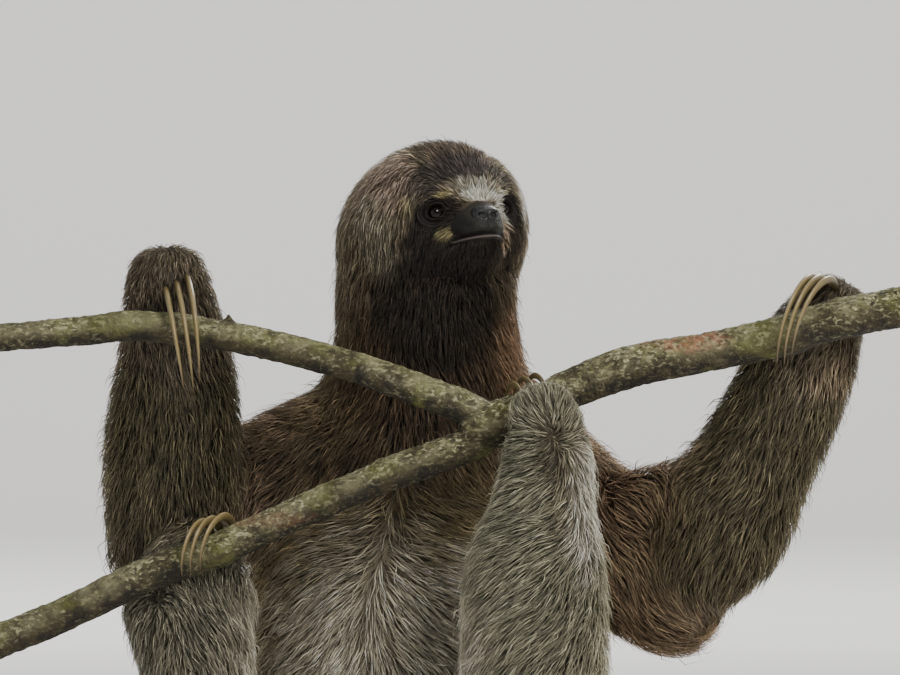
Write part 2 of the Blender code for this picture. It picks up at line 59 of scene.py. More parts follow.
FLESH = (
    "head", "neck", "trunk", "tail",
    "upper_arm_left", "upper_arm_right", "forearm_left", "forearm_right",
    "hand_left", "hand_right", "thigh_left", "thigh_right",
    "shank_left", "shank_right", "foot_left", "foot_right",
)


class Flow(Enum):
    """Which way the coat lies along a part's own line."""

    ONWARD = 1.0
    BACK = -1.0


class Slot(Enum):
    """Names of the material slots."""

    COAT = "coat"
    NOSE = "nose"
    EYE = "eye"
    CLAW = "claw"
    BARK = "bark"
    WOOD = "stand_wood"
    STEEL = "stand_steel"


# ---- sums


def unit(vectors: Array) -> Array:
    """The vectors divided by their lengths."""
    return vectors / np.maximum(np.linalg.norm(vectors, axis=-1, keepdims=True), 1e-9)


def ramp(values: Array, low: float, high: float) -> Array:
    """0 below low, 1 above high, and 3t^2 - 2t^3 between, with t the share of the way."""
    t = np.clip((values - low) / (high - low), 0.0, 1.0)
    return t * t * (3 - 2 * t)


def bump(*offsets: Array) -> Array:
    """e to the minus sum of the offsets' squares."""
    return np.exp(-sum(np.square(o) for o in offsets))


def blend(low: Array, high: Array, share: Array) -> Array:
    """low where share is 0 and high where it is 1, for rows of numbers."""
    return low + (high - low) * share[:, None]


def dot(a: Array, b: Array) -> Array:
    """The scalar product of rows."""
    return np.sum(a * b, axis=-1)


def across(vectors: Array, normals: Array) -> Array:
    """The unit part of each vector that lies in the plane of its normal."""
    return unit(vectors - dot(vectors, normals)[..., None] * normals)


def linear(colour: Colour) -> Array:
    """Light for a colour given in display steps from 0 to 255: (c / 255)^2.2."""
    return (np.array(colour, float) / 255.0) ** 2.2


def washed(colour: Colour, count: int, *washes: tuple[Colour, Array]) -> Array:
    """Rows of one colour as light, with other colours laid over in turn, each by its share.

    Args:
        colour: the first colour.
        count: how many rows.
        washes: each further colour with its share in each row.

    Returns:
        The rows, as light.
    """
    shade = np.tile(linear(colour), (count, 1))
    for over, share in washes:
        shade = blend(shade, linear(over), share)
    return shade


def circle(sides: int) -> Array:
    """The turns of a ring's points, even steps from 0 to a full turn."""
    return np.arange(sides) * 2 * math.pi / sides


def ball(polar: Array, around: Array) -> Array:
    """Directions by the angle from +y and the turn round it: (sin p cos t, cos p, sin p sin t)."""
    return np.stack(np.broadcast_arrays(
        np.sin(polar) * np.cos(around), np.cos(polar), np.sin(polar) * np.sin(around)
    ), -1)


def frames(line: Array) -> tuple[Array, Array, Array]:
    """The ways along a line of points, aside of it and in depth, square to each other.

    Args:
        line: rows of x, y, z.

    Returns:
        Three arrays of unit ways with a row for each point.
    """
    along = unit(np.gradient(line, axis=0))
    depth = across(np.tile(DEPTH, (len(line), 1)), along)
    return along, np.cross(depth, along), depth


def sweep(middle: Array, aside: Array, depth: Array, turn: Array, ridge: Array | float = 1.0) -> Array:
    """Rings of points round a line: middle + ridge * cos(turn) * aside + sin(turn) * depth.

    Args:
        middle: the line's points.
        aside, depth: two ways at each, as long as the ring's half sizes.
        turn: the turns of a ring's points.
        ridge: a factor on the first way at each turn.

    Returns:
        An array of rings, sides and x, y, z.
    """
    return (
        middle[:, None]
        + (np.cos(turn) * ridge)[None, :, None] * aside[:, None]
        + np.sin(turn)[None, :, None] * depth[:, None]
    )


def turned(radius: Array, height: Array, sides: int, place: Pair = (0.0, 0.0)) -> Array:
    """Rings of points: a profile of radius and height, turned about an upright line.

    Args:
        radius, height: the profile.
        sides: points in a ring.
        place: the line's x and y.

    Returns:
        An array of rings, sides and x, y, z.
    """
    turn = circle(sides)
    return np.stack([
        place[0] + radius[:, None] * np.cos(turn), place[1] + radius[:, None] * np.sin(turn),
        np.broadcast_to(height[:, None], (len(height), sides)),
    ], -1)


def noise(points: Array, scale: float, seed: int = 0) -> Array:
    """Smooth noise from -1 to 1.

    Each corner of a cubic lattice gets a random number from a hash of its place, and a
    point takes the mix of its cell's eight corners, weighted by 3t^2 - 2t^3 on each axis.

    Args:
        points: rows of x, y, z in metres.
        scale: cells in a metre.
        seed: another seed gives other noise.

    Returns:
        One number for each row.
    """
    place = points * scale + 17.0 * seed + 1000.0
    cell = np.floor(place).astype(np.int64)
    share = place - cell
    share = share * share * (3 - 2 * share)
    total = np.zeros(len(points))
    for corner in range(8):
        step = np.array([corner & 1, corner >> 1 & 1, corner >> 2 & 1])
        key = (cell + step) @ np.array([73856093, 19349663, 83492791]) + seed * 7919
        key = (key ^ (key >> 13)) * 1274126177 & 0x7FFFFFFF
        key = (key ^ (key >> 15)) * 668265263 & 0x7FFFFFFF
        weight = np.prod(np.where(step, share, 1 - share), axis=1)
        total += weight * (key / 0x7FFFFFFF)
    return 2 * total - 1


def layered(points: Array, scale: float, seed: int = 0) -> Array:
    """Three octaves of noise, each twice as fine and half as strong as the one before."""
    return sum(noise(points, scale * 2**k, seed + k) / 2**k for k in range(3)) / 1.75


def through(rows: Array, steps: int) -> Array:
    """Catmull-Rom curve through rows of numbers, with steps points from row to row.

    Args:
        rows: the rows to pass through.
        steps: points from one row to the next.

    Returns:
        The curve's rows, the last of them the last row itself.
    """
    rows = np.array(rows, float)
    padded = np.vstack([2 * rows[0] - rows[1], rows, 2 * rows[-1] - rows[-2]])
    t = (np.arange(steps) / steps)[:, None]
    spans = []
    for a, b, c, d in zip(padded, padded[1:], padded[2:], padded[3:]):
        cubic = (2 * a - 5 * b + 4 * c - d) * t**2 + (3 * b - a - 3 * c + d) * t**3
        spans.append(b + 0.5 * ((c - a) * t + cubic))
    return np.vstack([*spans, rows[-1:]])


# ---- meshes


def solid(name: str, points: Array, faces: Array, rounded: bool = True) -> Piece:
    """An object from arrays, its faces all with the same number of corners.

    Args:
        name: the object's and its mesh's name.
        points: rows of x, y, z in metres.
        faces: rows of point numbers.
        rounded: whether it is shaded smooth.

    Returns:
        The object, linked to the scene.
    """
    mesh = bpy.data.meshes.new(name)
    mesh.vertices.add(len(points))
    mesh.vertices.foreach_set("co", np.ascontiguousarray(points, np.float32).ravel())
    mesh.loops.add(faces.size)
    mesh.loops.foreach_set("vertex_index", np.ascontiguousarray(faces, np.int32).ravel())
    mesh.polygons.add(len(faces))
    mesh.polygons.foreach_set("loop_start", np.arange(len(faces)) * faces.shape[1])
    mesh.update(calc_edges=True)
    mesh.polygons.foreach_set("use_smooth", np.full(len(faces), rounded))
    obj = bpy.data.objects.new(name, mesh)
    bpy.context.scene.collection.objects.link(obj)
    return obj


def tube(points: Array) -> Shape:
    """A closed skin over rings of points, each end drawn together at its middle.

    Args:
        points: an array of rings, sides and x, y, z.

    Returns:
        The points and the triangles, wound so that the faces look outwards where the
        rings run anticlockwise as seen against the line.
    """
    rings, sides = points.shape[:2]
    ring, side = np.meshgrid(np.arange(rings - 1), np.arange(sides), indexing="ij")
    after = (side + 1) % sides
    a, b = ring * sides + side, ring * sides + after
    c, d = b + sides, a + sides
    walls = np.concatenate([np.stack([a, b, c], -1), np.stack([a, c, d], -1)]).reshape(-1, 3)
    turn = np.arange(sides)
    last = (rings - 1) * sides
    low, high = rings * sides, rings * sides + 1
    first_cap = np.stack([np.full(sides, low), (turn + 1) % sides, turn], -1)
    last_cap = np.stack([np.full(sides, high), last + turn, last + (turn + 1) % sides], -1)
    flat = np.vstack([points.reshape(-1, 3), points[0].mean(0), points[-1].mean(0)])
    return flat, np.vstack([walls, first_cap, last_cap])


def joined(pieces: list[Shape]) -> Shape:
    """Several meshes' points and faces as one."""
    starts = np.cumsum([0] + [len(points) for points, _ in pieces[:-1]])
    return (
        np.vstack([points for points, _ in pieces]),
        np.vstack([faces + start for (_, faces), start in zip(pieces, starts)]),
    )


def outward(obj: Piece) -> Piece:
    """The object with its faces turned outwards."""
    shape = bmesh.new()
    shape.from_mesh(obj.data)
    bmesh.ops.recalc_face_normals(shape, faces=shape.faces)
    shape.to_mesh(obj.data)
    shape.free()
    return obj


def applied(obj: Piece) -> Piece:
    """The object with its modifiers worked into its mesh."""
    bpy.context.view_layer.update()
    shown = obj.evaluated_get(bpy.context.evaluated_depsgraph_get())
    mesh = bpy.data.meshes.new_from_object(shown)
    obj.modifiers.clear()
    old, obj.data = obj.data, mesh
    bpy.data.meshes.remove(old)
    mesh.name = obj.name
    return obj


def fused(obj: Piece, voxel: float, rounds: int) -> Piece:
    """The object's solids as one even skin, evened out over a number of rounds.

    Args:
        obj: closed solids that may cross.
        voxel: the size of the skin's faces in metres.
        rounds: how often each point moves towards its neighbours' middle.

    Returns:
        The object, with its new mesh.
    """
    remesh = obj.modifiers.new("one_skin", "REMESH")
    remesh.mode = "VOXEL"
    remesh.voxel_size = voxel
    even = obj.modifiers.new("even", "SMOOTH")
    even.iterations = rounds
    even.factor = 0.5
    return applied(obj)


def rows_of(items: bpy.types.bpy_prop_collection, name: str) -> Array:
    """Rows of x, y, z: one vector of each of a mesh's points, faces or stored answers.

    Args:
        items: the mesh's points or faces, or an attribute's data.
        name: the vector's name.

    Returns:
        An array with a row for each item.
    """
    flat = np.empty(len(items) * 3, np.float32)
    items.foreach_get(name, flat)
    return flat.reshape(-1, 3).astype(float)


def moved(obj: Piece, points: Array) -> None:
    """Sets the object's points to new places, and shades it smooth."""
    mesh = obj.data
    mesh.vertices.foreach_set("co", points.astype(np.float32).ravel())
    mesh.update()
    mesh.polygons.foreach_set("use_smooth", np.full(len(mesh.polygons), True))


def paint(obj: Piece, name: str, colours: Array) -> None:
    """Stores a colour for each point, as light and with a fourth number, in an attribute."""
    layer = obj.data.color_attributes.new(name, "FLOAT_COLOR", "POINT")
    layer.data.foreach_set("color", np.ascontiguousarray(colours, np.float32).ravel())


# ---- nodes


class Wiring:
    """Adds nodes to a tree and joins their sockets."""

    def __init__(self, tree: bpy.types.NodeTree) -> None:
        """Keeps the tree."""
        self.tree = tree

    def feed(self, socket: Socket, value: object) -> None:
        """Joins a socket to the socket that feeds it, or sets its value."""
        if isinstance(value, Socket):
            self.tree.links.new(value, socket)
        else:
            socket.default_value = value

    def add(self, kind: str, inputs: dict | None = None, **settings: object) -> bpy.types.Node:
        """A new node with some settings and some inputs, which are values or other sockets.

        Args:
            kind: the node's type.
            inputs: values or sockets by the input's name or number.
            settings: the node's own settings.

        Returns:
            The node.
        """
        node = self.tree.nodes.new(kind)
        for name, value in settings.items():
            setattr(node, name, value)
        for name, value in (inputs or {}).items():
            self.feed(node.inputs[name], value)
        return node

    def sum(self, kind: str, a: object, b: object) -> Socket:
        """The result of one arithmetic step on two values or sockets."""
        return self.add("ShaderNodeMath", {0: a, 1: b}, operation=kind).outputs[0]

    def mix(self, share: object, low: object, high: object) -> Socket:
        """A colour between two colours or sockets."""
        return self.add("ShaderNodeMix", {0: share, 6: low, 7: high}, data_type="RGBA").outputs[2]

    def noise(self, stretch: Triple, inputs: dict) -> Socket:
        """Noise on the piece's own coordinates, pulled out by a stretch.

        Args:
            stretch: the scale on each axis.
            inputs: the noise's own inputs.

        Returns:
            The noise's height.
        """
        place = self.add("ShaderNodeTexCoord").outputs["Object"]
        pulled = self.add("ShaderNodeMapping", {"Vector": place, "Scale": stretch}).outputs[0]
        return self.add("ShaderNodeTexNoise", {"Vector": pulled, **inputs}).outputs[0]


# ---- body


@dataclass(frozen=True)
class Fur:
    """How the coat grows: its depth, a tuft's length and breadth, and the way between tufts."""

    depth: float
    length: float
    breadth: float
    pitch: float

    def row(self) -> Array:
        """The four numbers in order."""
        return np.array([self.depth, self.length, self.breadth, self.pitch])


@dataclass(frozen=True)
class Tint:
    """A coat's colour at the root and at the tip; the darker root is partly the hair's own colour and
    partly painted shade among the tufts.
    """

    root: Colour
    tip: Colour

    def over(self, root: Array, tip: Array, share: Array) -> tuple[Array, Array]:
        """Rows of root and tip colours with this tint laid over them."""
        return blend(root, linear(self.root), share), blend(tip, linear(self.tip), share)


@dataclass(frozen=True)
class Reading:
    """Where points stand against a part: distance outside, its way, unwrap and share of coat."""

    outside: Array
    way: Array
    place: Array
    coat: Array


@dataclass(frozen=True)
class BodyPart:
    """A length of the body: oval sections (x, y, z, half width, half depth) along a line."""

    name: str
    stations: tuple[tuple[float, ...], ...]
    flow: Flow
    fur: Fur
    tint: Tint
    cell: Cell
    thin_end: float = 1.0

    def thinning(self, share: Array) -> Array:
        """How much of the coat is left at a share of the line: all of it, and less at the paw."""
        return 1 - (1 - self.thin_end) * ramp(share, 0.45, 0.95)

    def line(self, steps: int) -> tuple[Array, Array, Array, Array, Array]:
        """Centres, ways along, ways aside and in depth, and half sizes along the part.

        Args:
            steps: points from one station to the next.

        Returns:
            Five arrays with a row for each point.
        """
        rows = through(self.stations, steps)
        return rows[:, :3], *frames(rows[:, :3]), rows[:, 3:5]

    def bare(self, sides: int = 32, steps: int = 5, dome: int = 5) -> Shape:
        """The part without its coat.

        The rings have the sections' half sizes less the coat, and the ends are rounded by
        rings whose distance goes with a sine and whose size with a cosine.

        Args:
            sides: points in a ring.
            steps: rings from one station to the next.
            dome: rings that round each end.

        Returns:
            Points and triangles.
        """
        centres, _, _, _, radii = self.line(steps)
        coat = self.fur.depth * self.thinning(np.linspace(0, 1, len(radii)))[:, None]
        radii = radii - np.minimum(coat, 0.42 * radii)
        turn = np.linspace(0, 0.5 * math.pi, dome + 2)[1:-1]
        lines, sizes = [centres], [radii]
        for end, inner, first in ((0, 1, True), (-1, -2, False)):
            out = unit(centres[end] - centres[inner])
            far = centres[end] + np.outer(np.sin(turn) * 0.85 * radii[end].min(), out)
            small = np.cos(turn)[:, None] * radii[end]
            lines = [far[::-1], *lines] if first else [*lines, far]
            sizes = [small[::-1], *sizes] if first else [*sizes, small]
        middle, size = np.vstack(lines), np.vstack(sizes)
        _, aside, depth = frames(middle)
        return tube(sweep(middle, aside * size[:, :1], depth * size[:, 1:], circle(sides)))

    def read(self, points: Array) -> Reading:
        """Measures points against the part's nearest section, scaled by that section's size.

        Args:
            points: rows of x, y, z.

        Returns:
            The distance outside the coat, the flow's way, the place on the unwrap, which has
            the turn round the line across and the way along it upwards, and the coat's share.
        """
        centres, along, aside, depth, radii = self.line(7)
        size = radii.mean(axis=1)
        gap = (
            np.sum(points**2, 1)[:, None] - 2 * points @ centres.T + np.sum(centres**2, 1)[None]
        )
        near = np.argmin(np.maximum(gap, 0) / size**2, axis=1)
        offset = points - centres[near]
        x = dot(offset, aside[near]) / radii[near, 0]
        y = dot(offset, depth[near]) / radii[near, 1]
        z = dot(offset, along[near]) / size[near]
        far = np.sqrt(x**2 + y**2 + z**2)
        turn = np.arctan2(y, x) / (2 * math.pi) + 0.5
        left, low, wide, high = self.cell
        share = near / (len(centres) - 1)
        place = np.stack([left + wide * (0.03 + 0.94 * turn), low + high * (0.03 + 0.94 * share)], -1)
        way = along[near] * self.flow.value
        return Reading((far - 1) * size[near], way, place, self.thinning(share))


@dataclass(frozen=True)
class Head:
    """The head, told as a distance from its centre in each direction.

    Directions are given by two angles in degrees: the turn from straight ahead towards the
    animal's left, and the rise above the level of the eyes.
    """

    centre: Triple = (-0.0116, -0.012, 0.4772)
    yaw: float = math.radians(30.6)
    pitch: float = math.radians(18.0)
    roll: float = math.radians(3.5)
    half_side: float = 0.0578
    half_front: float = 0.0575
    half_back: float = 0.0500
    half_up: float = 0.0525
    lean: float = 0.24
    eye_turn: float = 26.0
    eye_rise: float = 0.4
    eye_depth: float = 0.0490
    eye_reach: float = 0.054
    eye_radius: float = 0.0059
    muzzle_rise: float = -8.5
    mouth_rise: float = -16.6
    mouth_reach: float = 23.0
    parting_rise: float = -7.0
    muzzle_reach: float = 0.0108
    chin_reach: float = 0.0080
    cheek_reach: float = 0.0026
    socket_depth: float = 0.0038
    lid_rise: float = 0.0012
    eye_sink: float = 0.0065
    crease_depth: float = 0.0009
    mouth_depth: float = 0.0017
    upper_lip: float = 0.0010
    lower_lip: float = 0.0013
    groove_depth: float = 0.0007
    brow_rise: float = 0.0013
    fold_depth: float = 0.0006
    face_fur: Fur = Fur(0.0011, 0.0046, 0.00040, 0.00075)
    crown_fur: Fur = Fur(0.0056, 0.0104, 0.00055, 0.00110)
    cell: Cell = (0.0, 0.0, 0.5, 0.5)

    def axes(self) -> Array:
        """Rows: the ways to the head's left, to its front and up through its crown."""
        sin_yaw, cos_yaw = math.sin(self.yaw), math.cos(self.yaw)
        sin_pitch, cos_pitch = math.sin(self.pitch), math.cos(self.pitch)
        side = np.array([cos_yaw, sin_yaw, 0.0])
        front = np.array([sin_yaw * cos_pitch, -cos_yaw * cos_pitch, sin_pitch])
        side = side * math.cos(self.roll) + np.cross(front, side) * math.sin(self.roll)
        return np.stack([side, front, np.cross(front, side)])

    def own(self, points: Array) -> Array:
        """Points in the head's own frame: sideways, forward and up from its centre."""
        return (points - np.array(self.centre)) @ self.axes().T

    def world(self, own: Array) -> Array:
        """Points of the head's own frame set in the shared frame."""
        return np.array(self.centre) + own @ self.axes()

    def angles(self, own: Array) -> tuple[Array, Array, Array]:
        """Turn and rise in degrees, and distance, of points in the head's own frame.

        Args:
            own: points in the head's own frame, the last axis x, y, z.

        Returns:
            Three arrays: turn, rise and distance.
        """
        far = np.linalg.norm(own, axis=-1)
        turn = np.degrees(np.arctan2(own[..., 0], own[..., 1]))
        rise = np.degrees(np.arcsin(np.clip(own[..., 2] / np.maximum(far, 1e-9), -1, 1)))
        return turn, rise, far

    def seen(self, points: Array) -> tuple[Array, Array]:
        """Turn and rise in degrees of points in the shared frame."""
        return self.angles(self.own(points))[:2]

    def towards(self, turn: Array, rise: Array) -> Array:
        """The unit direction in the head's own frame for a turn and a rise in degrees."""
        t, r = np.radians(turn), np.radians(rise)
        return np.stack([np.sin(t) * np.cos(r), np.cos(t) * np.cos(r), np.sin(r)], -1)

    def eye_oval(self, turn: Array, rise: Array) -> Array:
        """1 on the rim of the nearer eye's opening, 0 at its middle and more outside.

        Args:
            turn, rise: a direction in degrees.

        Returns:
            The distance from the eye's middle over the rim's.
        """
        scale = math.radians(1) * self.eye_reach
        x = (np.abs(turn) - self.eye_turn) * scale * np.cos(np.radians(rise))
        y = (rise - self.eye_rise) * scale + 0.10 * x
        return np.hypot(x / 0.0047, y / np.where(y > 0, 0.0037, 0.0036))

    def muzzle(self, turn: Array, rise: Array) -> Array:
        """Below 1 on the bare leather of the muzzle, an oval that widens towards the mouth."""
        wide = 13.5 + 6.5 * ramp(-rise, -2.0, 15.0)
        return np.hypot(turn / wide, (rise - self.muzzle_rise) / 10.5)

    def mouth(self, turn: Array) -> Array:
        """The mouth's rise at a turn: level in the middle, sagging a little, up at the corners."""
        share = np.abs(turn) / self.mouth_reach
        return self.mouth_rise - 3.2 * share**2 + 1.5 * ramp(share, 0.75, 1.05)

    def outline(self, turn: Array, rise: Array) -> Array:
        """The coat's distance from the centre.

        An oval leaning forward as it rises, plus the muzzle's flat-topped hump, the chin's and
        the cheeks' bumps, less the eye sockets' hollows.

        Args:
            turn, rise: directions in degrees.

        Returns:
            A distance in metres for each direction.
        """
        side, front, up = np.moveaxis(self.towards(turn, rise), -1, 0)
        ahead = front - self.lean * up
        deep = np.where(ahead > 0, self.half_front, self.half_back)
        oval = ((side / self.half_side) ** 2 + (ahead / deep) ** 2 + (up / self.half_up) ** 2) ** -0.5
        around = np.abs(turn)
        return (
            oval
            + self.muzzle_reach * np.exp(-(np.hypot(around / 15, (rise + 12) / 12) ** 2.6))
            + self.chin_reach * bump(around / 18, (rise + 31) / 13)
            + self.cheek_reach * bump((around - 55) / 22, (rise + 25) / 20)
            - self.socket_depth * bump((around - 24) / 10, rise / 10)
        )

    def furred(self, turn: Array, rise: Array) -> Array:
        """0 on the short fur of the face, 1 on the long fur of crown, cheeks and nape."""
        aside = np.hypot(turn, (rise + 6) * np.where(rise > -6, 1.35, 0.95))
        return ramp(aside, 24.0, 62.0)

    def lids(self, turn: Array, rise: Array) -> Array:
        """1 on the bare lids, whose folds reach further outside and below the eye."""
        reach = 0.7 * ramp(np.abs(turn) - self.eye_turn - 0.6 * rise, -6.0, 5.0)
        return 1 - ramp(self.eye_oval(turn, rise) - reach, 1.55, 1.9)

    def naked(self, turn: Array, rise: Array) -> Array:
        """1 on bare skin: the muzzle, the lips and the lids.

        Args:
            turn, rise: directions in degrees.

        Returns:
            A share from 0 on fur to 1 on bare skin.
        """
        leather = 1 - ramp(self.muzzle(turn, rise), 0.88, 1.10)
        lids = self.lids(turn, rise)
        lips = bump((rise - self.mouth(turn)) / 2.6) * (1 - ramp(np.abs(turn), 19.0, 24.0))
        return np.clip(np.maximum(np.maximum(leather, lids), ramp(lips, 0.3, 0.7)), 0, 1)

    def coat_depth(self, turn: Array, rise: Array) -> Array:
        """The coat's depth, from the face's short fur to the crown's."""
        return self.face_fur.depth + (self.crown_fur.depth - self.face_fur.depth) * self.furred(turn, rise)

    def skin(self, turn: Array, rise: Array) -> Array:
        """The skin's distance from the centre.

        The coat's outline less the coat's depth, with lids raised round the eyes and the skin
        sunk behind each eyeball, the mouth's groove between two lips, the groove under the
        nose, brows over the eyes, and the folds that run from the eyes' inner corners.

        Args:
            turn, rise: directions in degrees.

        Returns:
            A distance in metres for each direction.
        """
        around = np.abs(turn)
        depth = self.coat_depth(turn, rise) * (1 - 0.75 * self.naked(turn, rise))
        rim = self.eye_oval(turn, rise)
        line = rise - self.mouth(turn)
        lips = 1 - ramp(around, 19.0, 24.0)
        folds = bump((around - 17 - 0.35 * (rise + 4)) / 1.8) * bump((rise + 4) / 7)
        creases = bump((rim - 1.62) / 0.13) + 0.8 * bump((rim - 2.10) / 0.17)
        return (
            self.outline(turn, rise)
            - depth
            + self.lid_rise * bump((rim - 1.18) / 0.20)
            - self.eye_sink * (1 - ramp(rim, 0.72, 1.04))
            - self.crease_depth * creases * (1 - self.furred(turn, rise))
            - self.mouth_depth * bump(line / 0.95) * lips
            + self.upper_lip * bump((line - 2.8) / 2.2) * lips
            + self.lower_lip * bump((line + 2.6) / 1.9) * lips
            - self.groove_depth * bump(turn / 1.3) * bump((rise + 13) / 3.2)
            + self.brow_rise * bump((around - 24) / 12, (rise - 12) / 4.5)
            - self.fold_depth * folds
        )

    def bare(self, rings: int = 64, sides: int = 96) -> Shape:
        """The head's skin as rings of points from the nape to the nose.

        Args:
            rings: rings from pole to pole.
            sides: points in a ring.

        Returns:
            Points and triangles.
        """
        polar = math.pi * (1 - (np.arange(rings) + 0.5) / rings)[:, None]
        way = ball(polar, circle(sides)[None])
        turn, rise, _ = self.angles(way)
        return tube(self.world(way * self.smooth_skin(turn, rise)[..., None]))

    def smooth_skin(self, turn: Array, rise: Array) -> Array:
        """The skin's distance without the fine forms, for the first coarse skin."""
        return self.outline(turn, rise) - self.coat_depth(turn, rise)

    def read(self, points: Array) -> Reading:
        """Measures points against the head.

        The coat leaves the muzzle on all sides, runs back over the middle of the crown, and
        falls straight down at the sides and the nape. The unwrap has the turn across and the
        rise upwards.

        Args:
            points: rows of x, y, z.

        Returns:
            The distance outside the coat, its way, the place on the unwrap and a full share.
        """
        own = self.own(points)
        turn, rise, far = self.angles(own)
        direction = unit(own)
        pole = self.towards(0.0, self.parting_rise)
        cosine = direction @ pole
        away = unit(direction * cosine[:, None] - pole) @ self.axes()
        angle = np.degrees(np.arccos(np.clip(cosine, -1, 1)))
        outward_way = unit(direction @ self.axes())
        down = np.array([[0.0, 0.0, -1.0]]) + outward_way[:, 2:] * outward_way
        fall = (ramp(angle, 16.0, 46.0) * ramp(np.abs(direction[:, 0]), 0.20, 0.55))[:, None]
        back = ramp(angle, 70.0, 120.0)[:, None]
        way = unit(away * (1 - 0.9 * fall) * (1 - 0.8 * back) + 1.15 * down * np.maximum(fall, back))
        left, low, wide, high = self.cell
        place = np.stack([
            left + wide * (0.5 + 0.94 * turn / 360), low + high * (0.5 + 0.94 * rise / 180)
        ], -1)
        return Reading(far - self.outline(turn, rise), way, place, np.ones(len(points)))


@dataclass(frozen=True)
class Patch:
    """A marking on the coat (one of them painted shade): an oval with a ragged edge, in the shared frame.
    """

    centre: Triple
    size: Triple
    tint: Tint
    strength: float = 1.0

    def share(self, points: Array) -> Array:
        """How strongly the marking covers points: 1 inside, 0 outside its wavering edge."""
        far = np.linalg.norm((points - np.array(self.centre)) / np.array(self.size), axis=1)
        return self.strength * (1 - ramp(far + 0.22 * noise(points, 120, 5), 0.65, 1.25))


@dataclass(frozen=True)
class FacePatch:
    """A marking on the head (some of them painted light): an oval with a ragged edge, in degrees of turn
    and rise.
    """

    turn: float
    rise: float
    wide: float
    high: float
    tint: Tint
    strength: float = 1.0

    def share(self, turn: Array, rise: Array, points: Array) -> Array:
        """How strongly the marking covers places on the head."""
        far = np.hypot((turn - self.turn) / self.wide, (rise - self.rise) / self.high)
        return self.strength * (1 - ramp(far + 0.14 * noise(points, 260, 9), 0.70, 1.20))


MASK = Tint((22, 18, 15), (54, 44, 36))
WHITE = Tint((196, 190, 170), (255, 253, 242))
STRAW = Tint((100, 90, 62), (192, 182, 134))


def cell(column: int, row: int) -> Cell:
    """One of the twelve small fields in the upper half of the unwrap."""
    return column / 6, 0.5 + row / 4, 1 / 6, 1 / 4


LIMB_FUR = Fur(0.0072, 0.0170, 0.00080, 0.00165)
FINE_FUR = Fur(0.0060, 0.0140, 0.00072, 0.00146)
DARK_ARM = Tint((34, 30, 22), (128, 119, 92))
RUST_ARM = Tint((50, 40, 30), (146, 125, 98))
PALE_LEG = Tint((38, 35, 26), (184, 180, 152))
# The right leg's tint is darker than the left's: partly its own greyer colour and partly painted shade, as
# that leg lies in shade.
GREY_LEG = Tint((48, 45, 37), (160, 154, 134))

